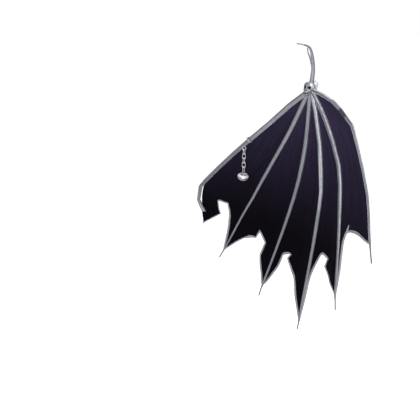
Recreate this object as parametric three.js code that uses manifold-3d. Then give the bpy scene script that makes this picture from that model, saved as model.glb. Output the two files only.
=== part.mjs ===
// Costume devil wing, the right-hand one of a pair, in millimetres with +Z up.
// The origin is the cut end of the arm at the shoulder. +X runs outboard and -Y is the front.
import * as THREE from 'three';
import { mergeVertices } from 'three/addons/utils/BufferGeometryUtils.js';
import Module from 'manifold-3d';

const wasm = await Module();
wasm.setup();

// Driving dimensions
const GAP = 0.35;
const CLOTH_THICKNESS = 2;
const HUB = { x: 247, z: 305 };
const PALM_REACH = 34;
const BONE_DEPTH_RATIO = 0.98;
const BONE_STEP = 42;
const SIDES = 6;

// Sampling of curves and reach of the cutting solids
const BONE_SAMPLES = 160;
const OUTLINE_SAMPLES = 40;
const CUTTER_SIZE = 60;
const OUTLINE_PRISM = { back: 70, depth: 240 };

// The wing is cupped: its surface runs back to a crest and then sweeps forward to the outer edge,
// and the finger tips curl forward a little.
const CUP = { crestX: 114, crestY: 18, outerSpan: 315, outerSweep: 133, outerPower: 2.3 };
const TIP_CURL = { startZ: -10, span: 220, forward: 14 };

// Bones, from the wrist outward: place in the front view and width across the bone. The arm runs on
// past the origin, where it is cut level.
const ARM = [
  { x: 246, z: 306, width: 9.4 },
  { x: 202, z: 271, width: 10.6 },
  { x: 157, z: 229, width: 9.9 },
  { x: 108, z: 185, width: 10.2 },
  { x: 68, z: 147, width: 9.4 },
  { x: 36.2, z: 114, width: 9.3 },
  { x: 4, z: 78, width: 9.3 },
  { x: -8, z: 62, width: 8.9 },
  { x: -12.7, z: 28, width: 7.9 },
  { x: -7, z: 13, width: 8.2 },
  { x: 0, z: 0, width: 8.4 },
  { x: 3.2, z: -6, width: 8.4 },
];
const FINGERS = [
  [
    { x: 249, z: 308, width: 7.8 },
    { x: 271, z: 303, width: 7.4 },
    { x: 300.3, z: 292.5, width: 6.6 },
    { x: 320, z: 280, width: 6.4 },
    { x: 350, z: 256, width: 5.8 },
    { x: 366.5, z: 223, width: 5.4 },
    { x: 402, z: 143, width: 5 },
    { x: 414.6, z: 82, width: 4.6 },
    { x: 420, z: 56, width: 4.4 },
    { x: 422, z: 48, width: 2.6 },
    { x: 429, z: 23, width: 0.9 },
  ],
  [
    { x: 247, z: 308, width: 8 },
    { x: 259, z: 296, width: 8.2 },
    { x: 280, z: 268, width: 8.2 },
    { x: 311, z: 215, width: 8.6 },
    { x: 329.3, z: 175, width: 8.6 },
    { x: 337.2, z: 139, width: 8.8 },
    { x: 341.3, z: 100, width: 9 },
    { x: 348, z: 12, width: 6.8 },
    { x: 352, z: -70, width: 5.8 },
    { x: 353, z: -100, width: 5 },
    { x: 354.5, z: -108, width: 2.8 },
    { x: 358, z: -129, width: 1 },
  ],
  [
    { x: 248, z: 310, width: 8 },
    { x: 263.8, z: 266, width: 8.3 },
    { x: 279, z: 206, width: 8.7 },
    { x: 287.6, z: 152, width: 9.6 },
    { x: 292.5, z: 108, width: 8 },
    { x: 288.6, z: 32, width: 8.1 },
    { x: 281, z: -53, width: 7 },
    { x: 272.3, z: -144, width: 6.6 },
    { x: 266.6, z: -211, width: 4.6 },
    { x: 266.1, z: -218, width: 2.9 },
    { x: 265, z: -233, width: 1 },
  ],
  [
    { x: 248, z: 310, width: 8 },
    { x: 248, z: 264, width: 8.3 },
    { x: 246.2, z: 201, width: 8.5 },
    { x: 234.8, z: 115, width: 8.2 },
    { x: 214.5, z: 31, width: 6.9 },
    { x: 189.3, z: -58, width: 5.5 },
    { x: 158, z: -166, width: 4.6 },
    { x: 155.8, z: -173.5, width: 2.9 },
    { x: 151.4, z: -194, width: 1 },
  ],
  [
    { x: 247, z: 310, width: 8 },
    { x: 225.7, z: 261, width: 9 },
    { x: 207.4, z: 221, width: 8.3 },
    { x: 145.3, z: 100, width: 7 },
    { x: 121, z: 50, width: 5.6 },
    { x: 97, z: 4, width: 5 },
    { x: 52.5, z: -93, width: 3.9 },
    { x: 48.5, z: -101, width: 2.8 },
    { x: 40, z: -118, width: 1 },
  ],
];

// Lower edge of each cloth bay, from the inboard bone to the outboard one. Each run is a smooth
// stretch between two torn corners, through [x, z] points of the front view, with the radius of its
// piping and the share by which that swells midway.
const BAYS = [
  {
    inboard: 1, outboard: 0, belly: 7, length: 330,
    runs: [
      {
        piping: 1.6, swell: 0.2,
        points: [[353.2, -96], [355.6, -56], [357, -30], [358, 2], [359.4, 26], [363.5, 46]],
      },
      { piping: 1.7, swell: 1, points: [[363.5, 46], [371, 52.2], [382, 58.8], [396, 60], [418, 57]] },
    ],
    spike: { base: [365.5, 49], tip: [366.8, 67], radius: 1.7 },
  },
  {
    inboard: 2, outboard: 1, belly: 8, length: 460,
    runs: [
      {
        piping: 1.8, swell: 0.3,
        points: [[267.4, -206], [272.4, -172], [277, -135], [280.4, -106], [287.8, -75], [303, -33]],
      },
      { piping: 1.8, swell: 0.8, points: [[303, -33], [308, -28], [315, -27], [323.4, -32]] },
      { piping: 1.7, swell: 0, points: [[323.4, -32], [318.2, -52]] },
      { piping: 1.7, swell: 0.2, points: [[318.2, -52], [327.8, -66], [340.2, -83.5], [352.5, -97]] },
    ],
  },
  {
    inboard: 3, outboard: 2, belly: 9, length: 500,
    runs: [
      {
        piping: 1.7, swell: 0.2,
        points: [[158.8, -163], [168, -150.5], [182, -124], [195.4, -98.4], [209.4, -68.4]],
      },
      { piping: 1.7, swell: 0.6, points: [[209.4, -68.4], [216, -65], [224, -63.5], [229, -66.5]] },
      { piping: 1.7, swell: 0, points: [[229, -66.5], [218.6, -75]] },
      {
        piping: 1.7, swell: 0.2,
        points: [[218.6, -75], [232.8, -102], [244, -131], [250.8, -160], [265.9, -206]],
      },
    ],
  },
  {
    inboard: 4, outboard: 3, belly: 10, length: 470,
    runs: [
      { piping: 1.7, swell: 1, points: [[52, -94.5], [80, -69], [101, -54], [117, -50], [132, -48]] },
      { piping: 1.7, swell: 0, points: [[132, -48], [141, -29]] },
      { piping: 1.7, swell: 0, points: [[141, -29], [157, -56]] },
      { piping: 1.7, swell: 0.2, points: [[157, -56], [146.2, -86.5]] },
      { piping: 1.7, swell: 0.2, points: [[146.2, -86.5], [150, -111], [154, -135], [157.3, -161]] },
    ],
  },
  {
    inboard: 'arm', outboard: 4, belly: 15, length: 400,
    freeEdge: [[6, 78], [-1.4, 62], [-4.6, 49], [-8.4, 29], [-8.6, -3], [-5, -32.8]],
    runs: [
      { piping: 1.4, swell: 0, points: [[-6.2, -33.8], [38.5, -3]] },
      { piping: 1.2, swell: 0, points: [[38.5, -3], [31.6, 25.4]] },
      { piping: 1.7, swell: 0.1, points: [[31.6, 25.4], [33, 29.8], [43.2, 28.8], [55.6, 24]] },
      {
        piping: 1.8, swell: 0.5,
        points: [[55.6, 24], [62, 0], [62.2, -17], [60, -45], [50.6, -94]],
      },
    ],
  },
];

// Cloth folds: soft pleats that fan out from the wrist, and a tuck that takes the root behind the hook.
const PLEATS = { count: 3, height: 1.8 };
const ROOT_TUCK = { startR: 346, endR: 384, width: 0.5, back: 7.5 };
const PANEL_GRID = { columns: 8, firstR: 27, stepR: 34, pastTip: 25, overlap: 0.02, freeOverlap: 0.3 };
const BELLY_POWER = 0.8;
const SAMPLES_FROM_R = 20;
const HEM = { step: 10.8, mitreLimit: 2.2, maxDepth: 2.2, spikeTip: 0.4 };
const OUTLINE_MARGIN = { start: 1, end: 3 };

// Knuckle at the wrist, and the claw and spur over it: centre line and width.
const KNUCKLE = { x: 248, y: -0.5, z: 312, width: 18, depth: 8.8, height: 24 };
const CLAW_BASE = { x: 249.5, y: -1, z: 312, width: 9.2 };
const CLAW = [
  { x: 250.5, y: -4, z: 325, width: 8.9 },
  { x: 253, y: -8, z: 342, width: 8 },
  { x: 254.2, y: -14, z: 358, width: 7 },
  { x: 255.9, y: -28, z: 375, width: 5.4 },
  { x: 256.3, y: -37, z: 384, width: 4.6 },
  { x: 255.4, y: -44, z: 389.4, width: 3.9 },
  { x: 250.4, y: -53.3, z: 393.4, width: 3 },
  { x: 240, y: -66, z: 396.5, width: 0.9 },
];
const SPUR = [
  { x: 252.5, y: -10.5, z: 348, width: 3.8 },
  { x: 247.5, y: -8, z: 361, width: 3.2 },
  { x: 243.4, y: -5, z: 369, width: 2.8 },
  { x: 239.1, y: -5, z: 377.6, width: 2.2 },
  { x: 238.1, y: -6.7, z: 386.2, width: 0.8 },
];

// Skulls on the wrist, front and back
const SKULLS = {
  front: { x: 246.3, y: -8.6, z: 311.5, turn: -6, roll: 8 },
  back: { x: 247.6, y: 14.6, z: 311.5, turn: 186, roll: 0 },
};
const CRANIUM = { width: 20.4, depth: 20, height: 19.4, up: 3 };
const FACE = { width: 14.4, depth: 12.8, height: 19.4, forward: 4.2, down: 6.8 };
const EYE = { apart: 10.2, forward: 8.8, up: 0.8, size: 5.6 };
const NOSE = { size: 2.6, stretch: 1.4, forward: 10.5, down: 3.4 };
const MOUTH = { width: 12.5, height: 1.1, depth: 2.4, forward: 10, down: 10 };

// Band, chain and charm
const COLLAR = { x: 108, z: 185, innerRadius: 6.2, outerRadius: 7.3, length: 3.6, roomRadius: 4.2 };
const LINK = { length: 14, width: 9.6, wire: 1.8, count: 5, slack: 0.3, segments: 14 };
const EYE_RING = { x: 98.4, y: 12.4, z: 166.5, radius: 4.3, wire: 2, solder: 2.6, solderBack: 1.7 };
const CHARM = { bail: 3.3, bailWire: 1.6, drop: 11.1, sides: 14 };

// The charm is a turned bead, dished on top round a short stem: radius and height from its middle.
const CHARM_PROFILE = [
  { r: 0, z: 8.1 },
  { r: 1.5, z: 7.7 },
  { r: 1.5, z: 5 },
  { r: 4.6, z: 4.7 },
  { r: 7.2, z: 5 },
  { r: 8.2, z: 5.9 },
  { r: 9.1, z: 6.4 },
  { r: 10.2, z: 6 },
  { r: 11.7, z: 4.6 },
  { r: 12.8, z: 2.6 },
  { r: 13.1, z: 1.4 },
  { r: 12.8, z: 0.6 },
  { r: 13, z: -0.4 },
  { r: 12.6, z: -2.4 },
  { r: 11.6, z: -4.4 },
  { r: 9.5, z: -6.2 },
  { r: 6.2, z: -7.6 },
  { r: 0, z: -8.4 },
];

// Finishes
const FINISH = {
  bone: { color: 0x8d8f99, metalness: 0.85, roughness: 0.42 },
  polished: { color: 0xc4c6d0, metalness: 1, roughness: 0.18 },
  cloth: { color: 0x1b1724, metalness: 0, roughness: 0.7 },
  piping: { color: 0x9a9ba5, metalness: 0.6, roughness: 0.45 },
};

function surfaceY(x, z) {
  const outward = (x - CUP.crestX) / CUP.outerSpan;
  const inward = (CUP.crestX - x) / CUP.crestX;
  const side = x > CUP.crestX ? CUP.outerSweep * outward ** CUP.outerPower : CUP.crestY * inward ** 2;
  const down = Math.max(0, TIP_CURL.startZ - z) / TIP_CURL.span;
  return CUP.crestY - side - TIP_CURL.forward * down ** 2;
}

function onSurface(x, z) {
  return new THREE.Vector3(x, surfaceY(x, z), z);
}

function frontNormal(x, z) {
  const slopeX = surfaceY(x + 0.5, z) - surfaceY(x - 0.5, z);
  const slopeZ = surfaceY(x, z + 0.5) - surfaceY(x, z - 0.5);
  return new THREE.Vector3(slopeX, -1, slopeZ).normalize();
}

function smooth(low, high, value) {
  const t = Math.min(1, Math.max(0, (value - low) / (high - low)));
  return t * t * (3 - 2 * t);
}

// A closed solid from rings of points: side walls between rings, and two end caps unless the loop
// closes. A cap is cut across its ring in strips, so that it follows a bent end.
function loft(rings, closesOnItself = false) {
  const sides = rings[0].length;
  const positions = rings.flat().flatMap((p) => [p.x, p.y, p.z]);
  const triangles = [];
  const end = (rings.length - 1) * sides;
  const last = closesOnItself ? rings.length : rings.length - 1;
  for (let i = 0; i < last; i += 1) {
    const here = i * sides;
    const next = ((i + 1) % rings.length) * sides;
    for (let j = 0; j < sides; j += 1) {
      const k = (j + 1) % sides;
      triangles.push(here + j, next + j, next + k, here + j, next + k, here + k);
    }
  }
  for (let j = 0; !closesOnItself && j < sides / 2 - 1; j += 1) {
    const far = sides - 1 - j;
    triangles.push(j, j + 1, far - 1, j, far - 1, far);
    triangles.push(end + j, end + far - 1, end + j + 1, end + j, end + far, end + far - 1);
  }
  const geometry = new THREE.BufferGeometry();
  geometry.setAttribute('position', new THREE.Float32BufferAttribute(positions, 3));
  geometry.setIndex(triangles);
  return outward(geometry);
}

// Turns the faces outward where the enclosed volume comes out negative.
function outward(geometry) {
  const index = geometry.index.array;
  const p = geometry.attributes.position;
  const corner = (i) => new THREE.Vector3().fromBufferAttribute(p, i);
  let volume = 0;
  for (let i = 0; i < index.length; i += 3) {
    volume += corner(index[i]).dot(corner(index[i + 1]).cross(corner(index[i + 2])));
  }
  if (volume < 0) {
    for (let i = 0; i < index.length; i += 3) {
      [index[i + 1], index[i + 2]] = [index[i + 2], index[i + 1]];
    }
  }
  return geometry;
}

function solid(geometry) {
  const bare = geometry.clone();
  bare.deleteAttribute('normal');
  bare.deleteAttribute('uv');
  const merged = mergeVertices(bare, 1e-4);
  const vertProperties = new Float32Array(merged.attributes.position.array);
  const triVerts = new Uint32Array(merged.index.array);
  return new wasm.Manifold(new wasm.Mesh({ numProp: 3, vertProperties, triVerts }));
}

function geometryOf(manifold) {
  const mesh = manifold.getMesh();
  const geometry = new THREE.BufferGeometry();
  geometry.setAttribute('position', new THREE.Float32BufferAttribute(mesh.vertProperties, 3));
  geometry.setIndex(Array.from(mesh.triVerts));
  return geometry;
}

function joined(solids) {
  return solids.reduce((whole, piece) => whole.add(piece));
}

// Corners of a round section with few sides, as cosine and sine pairs
function sectionCorners() {
  return Array.from({ length: SIDES }, (_, corner) => {
    const angle = (2 * Math.PI * corner) / SIDES;
    return [Math.cos(angle), Math.sin(angle)];
  });
}

// Bones
function boneCurve(rows) {
  return new THREE.CatmullRomCurve3(rows.map((row) => onSurface(row.x, row.z)));
}

function widthAt(rows, t) {
  const place = t * (rows.length - 1);
  const i = Math.min(Math.floor(place), rows.length - 2);
  return THREE.MathUtils.lerp(rows[i].width, rows[i + 1].width, place - i);
}

function fromHub(point) {
  return Math.hypot(point.x - HUB.x, point.z - HUB.z);
}

// The curve parameter at which a bone is a given distance from the hub.
function parameterAt(curve, distance) {
  let low = 0;
  let high = 1;
  for (let i = 0; i < 40; i += 1) {
    const mid = (low + high) / 2;
    if (fromHub(curve.getPoint(mid)) < distance) {
      low = mid;
    } else {
      high = mid;
    }
  }
  return low;
}

function boneParameters(rows, curve, start, end) {
  const values = [start];
  const stretches = rows.length - 1;
  for (let i = 0; i < stretches; i += 1) {
    const from = curve.getPoint(i / stretches);
    const to = curve.getPoint((i + 1) / stretches);
    const steps = Math.max(1, Math.round(from.distanceTo(to) / BONE_STEP));
    for (let j = 0; j < steps; j += 1) {
      values.push((i + (j + 1) / steps) / stretches);
    }
  }
  const margin = 0.004;
  const inside = values.filter((t) => t === start || (t > start + margin && t < end - margin));
  return [...inside, end];
}

// A six-sided section with a ridge down the front and another down the back.
function boneRing(curve, t, width) {
  const centre = curve.getPoint(t);
  const along = curve.getTangent(t);
  const across = new THREE.Vector3().crossVectors(along, frontNormal(centre.x, centre.z)).normalize();
  const front = new THREE.Vector3().crossVectors(across, along);
  const half = width / 2;
  const ridge = half * BONE_DEPTH_RATIO;
  const corners = [[0, 1], [1, 0.5], [1, -0.5], [0, -1], [-1, -0.5], [-1, 0.5]];
  return corners.map(([side, height]) => centre.clone()
    .addScaledVector(across, side * half)
    .addScaledVector(front, height * ridge));
}

function bone(rows, start, end, extra = 0) {
  const curve = boneCurve(rows);
  const values = boneParameters(rows, curve, start, end);
  return loft(values.map((t) => boneRing(curve, t, widthAt(rows, t) + 2 * extra)));
}

// The piece above z = 0, with a level end face at the origin
function cutLevel(piece) {
  const below = new THREE.BoxGeometry(CUTTER_SIZE, CUTTER_SIZE, CUTTER_SIZE);
  below.translate(0, 0, -CUTTER_SIZE / 2);
  return piece.subtract(solid(below));
}

const bones = [...FINGERS, ARM];

function palmSolid(extra) {
  const stubs = bones.map((rows) => {
    const curve = boneCurve(rows);
    return solid(bone(rows, 0, parameterAt(curve, PALM_REACH), extra));
  });
  const knuckle = new THREE.SphereGeometry(0.5, 12, 8);
  knuckle.scale(KNUCKLE.width + 2 * extra, KNUCKLE.depth + 2 * extra, KNUCKLE.height + 2 * extra);
  knuckle.translate(KNUCKLE.x, KNUCKLE.y, KNUCKLE.z);
  const clawStub = clawGeometry([CLAW_BASE, { ...CLAW[0], z: CLAW[0].z - GAP }], extra);
  return joined([...stubs, solid(knuckle), solid(clawStub)]);
}

function freeBone(rows) {
  return bone(rows, parameterAt(boneCurve(rows), PALM_REACH + GAP), 1);
}

// Room for a whole bone, its stub in the palm and its free length, for cutting cloth and piping clear
function boneRoom(rows) {
  const reach = parameterAt(boneCurve(rows), PALM_REACH);
  return solid(bone(rows, 0, reach, GAP)).add(solid(bone(rows, reach, 1, GAP)));
}

// Claws: six-sided tapering horns
function clawGeometry(rows, extra = 0) {
  const curve = new THREE.CatmullRomCurve3(rows.map((row) => new THREE.Vector3(row.x, row.y, row.z)));
  const sideways = new THREE.Vector3(1, 0, 0);
  const rings = rows.map((row, i) => {
    const t = i / (rows.length - 1);
    const along = curve.getTangent(t);
    const back = new THREE.Vector3().crossVectors(along, sideways).normalize();
    const across = new THREE.Vector3().crossVectors(back, along);
    const radius = row.width / 2 + extra;
    return sectionCorners().map(([side, height]) => curve.getPoint(t)
      .addScaledVector(across, radius * side)
      .addScaledVector(back, radius * height));
  });
  return loft(rings);
}

// Skull facing -Y about its own centre: cranium and face, with sockets, nose and mouth.
function skullSolid() {
  const cranium = new THREE.SphereGeometry(0.5, 14, 8).scale(CRANIUM.width, CRANIUM.depth, CRANIUM.height);
  cranium.translate(0, 0, CRANIUM.up);
  const face = new THREE.SphereGeometry(0.5, 12, 6).scale(FACE.width, FACE.depth, FACE.height);
  face.translate(0, -FACE.forward, -FACE.down);
  let skull = solid(cranium).add(solid(face));
  for (const side of [-1, 1]) {
    const socket = new THREE.SphereGeometry(EYE.size / 2, 8, 5);
    socket.translate((side * EYE.apart) / 2, -EYE.forward, EYE.up);
    skull = skull.subtract(solid(socket));
  }
  const nose = new THREE.OctahedronGeometry(NOSE.size / 2).scale(1, 1, NOSE.stretch);
  nose.translate(0, -NOSE.forward, -NOSE.down);
  const mouth = new THREE.BoxGeometry(MOUTH.width, MOUTH.depth, MOUTH.height);
  mouth.translate(0, -MOUTH.forward, -MOUTH.down);
  return skull.subtract(solid(nose)).subtract(solid(mouth));
}

function placedSkull(place) {
  const turned = geometryOf(skullSolid());
  turned.rotateY(THREE.MathUtils.degToRad(place.roll));
  turned.rotateZ(THREE.MathUtils.degToRad(place.turn));
  turned.translate(place.x, place.y, place.z);
  const farHalf = new THREE.BoxGeometry(CUTTER_SIZE, CUTTER_SIZE, CUTTER_SIZE);
  farHalf.translate(place.x, (-Math.sign(place.y) * CUTTER_SIZE) / 2, place.z);
  return geometryOf(solid(turned).subtract(solid(farHalf)).subtract(palmSolid(GAP)));
}

// Where a bone runs, as its angle about the hub at each distance from it
function sampledBone(rows) {
  const curve = boneCurve(rows);
  const samples = [];
  for (let i = 0; i <= BONE_SAMPLES; i += 1) {
    const point = curve.getPoint(i / BONE_SAMPLES);
    samples.push({ r: fromHub(point), angle: Math.atan2(point.x - HUB.x, HUB.z - point.z) });
  }
  return samples.filter((sample) => sample.r > SAMPLES_FROM_R);
}

function angleAt(samples, r) {
  const after = samples.findIndex((sample) => sample.r >= r);
  if (after <= 0) {
    return after === 0 ? samples[0].angle : samples[samples.length - 1].angle;
  }
  const a = samples[after - 1];
  const b = samples[after];
  return THREE.MathUtils.lerp(a.angle, b.angle, (r - a.r) / (b.r - a.r));
}

function bayFrame(bay) {
  const inboard = bay.inboard === 'arm' ? ARM : FINGERS[bay.inboard];
  const outboard = FINGERS[bay.outboard];
  return { inboard, outboard, left: sampledBone(inboard), right: sampledBone(outboard) };
}

// How far the cloth lies behind the bones, at u from the inboard bone (0) to the outboard one (1)
function foldDepth(bay, u, r) {
  const reach = Math.min(1, Math.max(0, r / bay.length));
  const inside = Math.sin(Math.PI * Math.min(1, Math.max(0, u)));
  const belly = bay.belly * inside * Math.sin(Math.PI * reach ** BELLY_POWER);
  const pleats = PLEATS.height * inside * reach * Math.cos(2 * Math.PI * PLEATS.count * u);
  const tuck = bay.inboard === 'arm'
    ? ROOT_TUCK.back * smooth(ROOT_TUCK.startR, ROOT_TUCK.endR, r) * (1 - smooth(0, ROOT_TUCK.width, u))
    : 0;
  return belly + pleats + tuck;
}

function clothPoint(bay, frame, x, z) {
  const r = Math.hypot(x - HUB.x, z - HUB.z);
  const angle = Math.atan2(x - HUB.x, HUB.z - z);
  const from = angleAt(frame.left, r);
  const u = (angle - from) / (angleAt(frame.right, r) - from);
  return new THREE.Vector3(x, surfaceY(x, z) + foldDepth(bay, u, r), z);
}

// Hem piping: a six-sided bead along the torn edge, mitred at its corners.
function hemStations(bay) {
  const stations = [];
  bay.runs.forEach((run, runIndex) => {
    const curve = new THREE.SplineCurve(run.points.map(([x, z]) => new THREE.Vector2(x, z)));
    const steps = Math.max(2, Math.round(curve.getLength() / HEM.step));
    for (let i = runIndex === 0 ? 0 : 1; i <= steps; i += 1) {
      const t = i / steps;
      const place = curve.getPointAt(t);
      const radius = run.piping * (1 + run.swell * Math.sin(Math.PI * t));
      stations.push({ x: place.x, z: place.y, radius });
    }
  });
  return stations;
}

function hemGeometry(bay, frame, extra = 0) {
  const stations = hemStations(bay);
  const points = stations.map((s) => clothPoint(bay, frame, s.x, s.z));
  const rings = points.map((point, i) => {
    const before = points[Math.max(0, i - 1)];
    const after = points[Math.min(points.length - 1, i + 1)];
    const arriving = new THREE.Vector3().subVectors(point, before).normalize();
    const leaving = new THREE.Vector3().subVectors(after, point).normalize();
    const along = new THREE.Vector3().addVectors(arriving, leaving).normalize();
    const mitre = Math.min(HEM.mitreLimit, 1 / along.dot(i === 0 ? leaving : arriving));
    const across = new THREE.Vector3().crossVectors(along, frontNormal(point.x, point.z)).normalize();
    const front = new THREE.Vector3().crossVectors(across, along);
    const radius = stations[i].radius + extra;
    const depth = Math.min(radius, HEM.maxDepth + extra);
    return sectionCorners().map(([side, height]) => point.clone()
      .addScaledVector(across, radius * mitre * side)
      .addScaledVector(front, depth * height));
  });
  return loft(rings);
}

function hemSolid(bay, frame, extra = 0) {
  let hem = solid(hemGeometry(bay, frame, extra));
  if (bay.spike) {
    const foot = clothPoint(bay, frame, ...bay.spike.base);
    const tip = clothPoint(bay, frame, ...bay.spike.tip);
    const length = foot.distanceTo(tip) + extra;
    const spike = new THREE.CylinderGeometry(HEM.spikeTip + extra, bay.spike.radius + extra, length, 6);
    const up = new THREE.Vector3(0, 1, 0);
    const lean = new THREE.Vector3().subVectors(tip, foot).normalize();
    spike.translate(0, length / 2, 0);
    spike.applyQuaternion(new THREE.Quaternion().setFromUnitVectors(up, lean));
    spike.translate(foot.x, foot.y, foot.z);
    hem = hem.add(solid(spike));
  }
  return hem;
}

function finishedHem(bay, frame) {
  return hemSolid(bay, frame)
    .subtract(boneRoom(frame.inboard))
    .subtract(boneRoom(frame.outboard));
}

// Cloth panel: a folded slab over the whole bay, trimmed to the outline and clear of bones and piping.
function clothSlab(bay, frame) {
  const tipR = Math.max(...frame.right.map((s) => s.r), ...frame.left.map((s) => s.r));
  const lastR = tipR + PANEL_GRID.pastTip;
  const rows = Math.ceil((lastR - PANEL_GRID.firstR) / PANEL_GRID.stepR);
  const firstU = bay.freeEdge ? -PANEL_GRID.freeOverlap : -PANEL_GRID.overlap;
  const lastU = 1 + PANEL_GRID.overlap;
  const rings = [];
  for (let i = 0; i <= rows; i += 1) {
    const r = PANEL_GRID.firstR + ((lastR - PANEL_GRID.firstR) * i) / rows;
    const from = angleAt(frame.left, r);
    const to = angleAt(frame.right, r);
    const front = [];
    const back = [];
    for (let j = 0; j <= PANEL_GRID.columns; j += 1) {
      const u = firstU + ((lastU - firstU) * j) / PANEL_GRID.columns;
      const angle = from + (to - from) * u;
      const x = HUB.x + r * Math.sin(angle);
      const z = HUB.z - r * Math.cos(angle);
      const y = surfaceY(x, z) + foldDepth(bay, u, r);
      front.push(new THREE.Vector3(x, y - CLOTH_THICKNESS / 2, z));
      back.unshift(new THREE.Vector3(x, y + CLOTH_THICKNESS / 2, z));
    }
    rings.push([...front, ...back]);
  }
  return loft(rings);
}

function boneOutline(rows, endPoint) {
  const curve = boneCurve(rows);
  const stop = Math.hypot(endPoint[0] - HUB.x, endPoint[1] - HUB.z);
  const points = [];
  for (let i = 0; i <= OUTLINE_SAMPLES; i += 1) {
    const place = curve.getPoint(i / OUTLINE_SAMPLES);
    const r = fromHub(place);
    if (r > PANEL_GRID.firstR + OUTLINE_MARGIN.start && r < stop - OUTLINE_MARGIN.end) {
      points.push([place.x, place.z]);
    }
  }
  return points;
}

function panel(bay, frame) {
  const firstHem = bay.runs[0].points[0];
  const lastRun = bay.runs[bay.runs.length - 1].points;
  const leftEnd = bay.freeEdge ? bay.freeEdge[0] : firstHem;
  const hem = hemStations(bay).slice(bay.freeEdge ? 1 : 0).map((s) => [s.x, s.z]);
  const outline = [
    ...boneOutline(frame.inboard, leftEnd),
    ...(bay.freeEdge || []),
    ...hem,
    ...boneOutline(frame.outboard, lastRun[lastRun.length - 1]).reverse(),
  ];
  const shape = new THREE.Shape(outline.map(([x, z]) => new THREE.Vector2(x, z)));
  const prism = new THREE.ExtrudeGeometry(shape, { depth: OUTLINE_PRISM.depth, bevelEnabled: false });
  prism.rotateX(Math.PI / 2).translate(0, OUTLINE_PRISM.back, 0);
  const trimmed = solid(clothSlab(bay, frame))
    .intersect(solid(prism))
    .subtract(boneRoom(frame.inboard))
    .subtract(boneRoom(frame.outboard))
    .subtract(hemSolid(bay, frame, GAP));
  const bandRoom = solid(collarGeometry(COLLAR.roomRadius, GAP));
  return bay.inboard === 'arm' ? trimmed.subtract(bandRoom) : trimmed;
}

// Band, chain and charm
function collarGeometry(innerRadius, extra = 0) {
  const curve = boneCurve(ARM);
  const t = parameterAt(curve, Math.hypot(COLLAR.x - HUB.x, COLLAR.z - HUB.z));
  const half = COLLAR.length / 2 + extra;
  const outerRadius = COLLAR.outerRadius + extra;
  const profile = [[innerRadius, -half], [outerRadius, -half], [outerRadius, half], [innerRadius, half]];
  profile.push(profile[0]);
  const band = new THREE.LatheGeometry(profile.map(([r, h]) => new THREE.Vector2(r, h)), 12);
  const along = curve.getTangent(t);
  band.applyQuaternion(new THREE.Quaternion().setFromUnitVectors(new THREE.Vector3(0, 1, 0), along));
  const centre = curve.getPoint(t);
  return band.translate(centre.x, centre.y, centre.z);
}

function linkGeometry() {
  const straight = (LINK.length - LINK.width) / 2;
  const round = (LINK.width - LINK.wire) / 2;
  const rings = [];
  for (let i = 0; i < LINK.segments; i += 1) {
    const angle = (2 * Math.PI * (i + 0.5)) / LINK.segments;
    const away = new THREE.Vector3(Math.cos(angle), 0, Math.sin(angle));
    const centre = away.clone().multiplyScalar(round);
    centre.z += Math.sign(away.z) * straight;
    rings.push(sectionCorners().map(([side, height]) => centre.clone()
      .addScaledVector(away, (LINK.wire / 2) * side)
      .add(new THREE.Vector3(0, (LINK.wire / 2) * height, 0))));
  }
  return loft(rings, true);
}

function ringGeometry(radius, wire) {
  return new THREE.TorusGeometry(radius, wire / 2, SIDES, LINK.segments).rotateX(Math.PI / 2);
}

function charmSolid() {
  const profile = CHARM_PROFILE.map((row) => new THREE.Vector2(row.r, row.z));
  const bead = new THREE.LatheGeometry(profile, CHARM.sides).rotateX(Math.PI / 2);
  bead.translate(0, 0, -CHARM.drop);
  return solid(outward(bead)).add(solid(ringGeometry(CHARM.bail, CHARM.bailWire)));
}

function armSolid() {
  const eye = ringGeometry(EYE_RING.radius, EYE_RING.wire).translate(EYE_RING.x, EYE_RING.y, EYE_RING.z);
  const solder = new THREE.SphereGeometry(EYE_RING.solder, 8, 6);
  solder.translate(EYE_RING.x, EYE_RING.y + EYE_RING.solderBack, EYE_RING.z + EYE_RING.radius);
  const rod = cutLevel(solid(freeBone(ARM)));
  return joined([rod, solid(eye), solid(solder)]);
}

const wing = new THREE.Group();

function addPiece(name, geometry, finish, position = null, turn = 0) {
  const mesh = new THREE.Mesh(geometry, new THREE.MeshStandardMaterial(FINISH[finish]));
  mesh.name = name;
  if (position) {
    mesh.position.copy(position);
  }
  mesh.rotation.z = turn;
  wing.add(mesh);
}

addPiece('arm_bone', geometryOf(armSolid()), 'bone');
addPiece('palm', geometryOf(palmSolid(0)), 'bone');
FINGERS.forEach((rows, i) => addPiece(`finger_${i + 1}`, freeBone(rows), 'bone'));
Object.entries(SKULLS).forEach(([side, place]) => {
  addPiece(`skull_${side}`, placedSkull(place), 'bone');
});
addPiece('thumb_claw', clawGeometry(CLAW), 'bone');
const spur = solid(clawGeometry(SPUR)).subtract(solid(clawGeometry(CLAW, GAP)));
addPiece('thumb_spur', geometryOf(spur), 'bone');
BAYS.forEach((bay, i) => {
  const frame = bayFrame(bay);
  addPiece(`membrane_${i + 1}`, geometryOf(panel(bay, frame)), 'cloth');
  addPiece(`hem_${i + 1}`, geometryOf(finishedHem(bay, frame)), 'piping');
});
addPiece('arm_collar', collarGeometry(COLLAR.innerRadius), 'polished');

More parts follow.
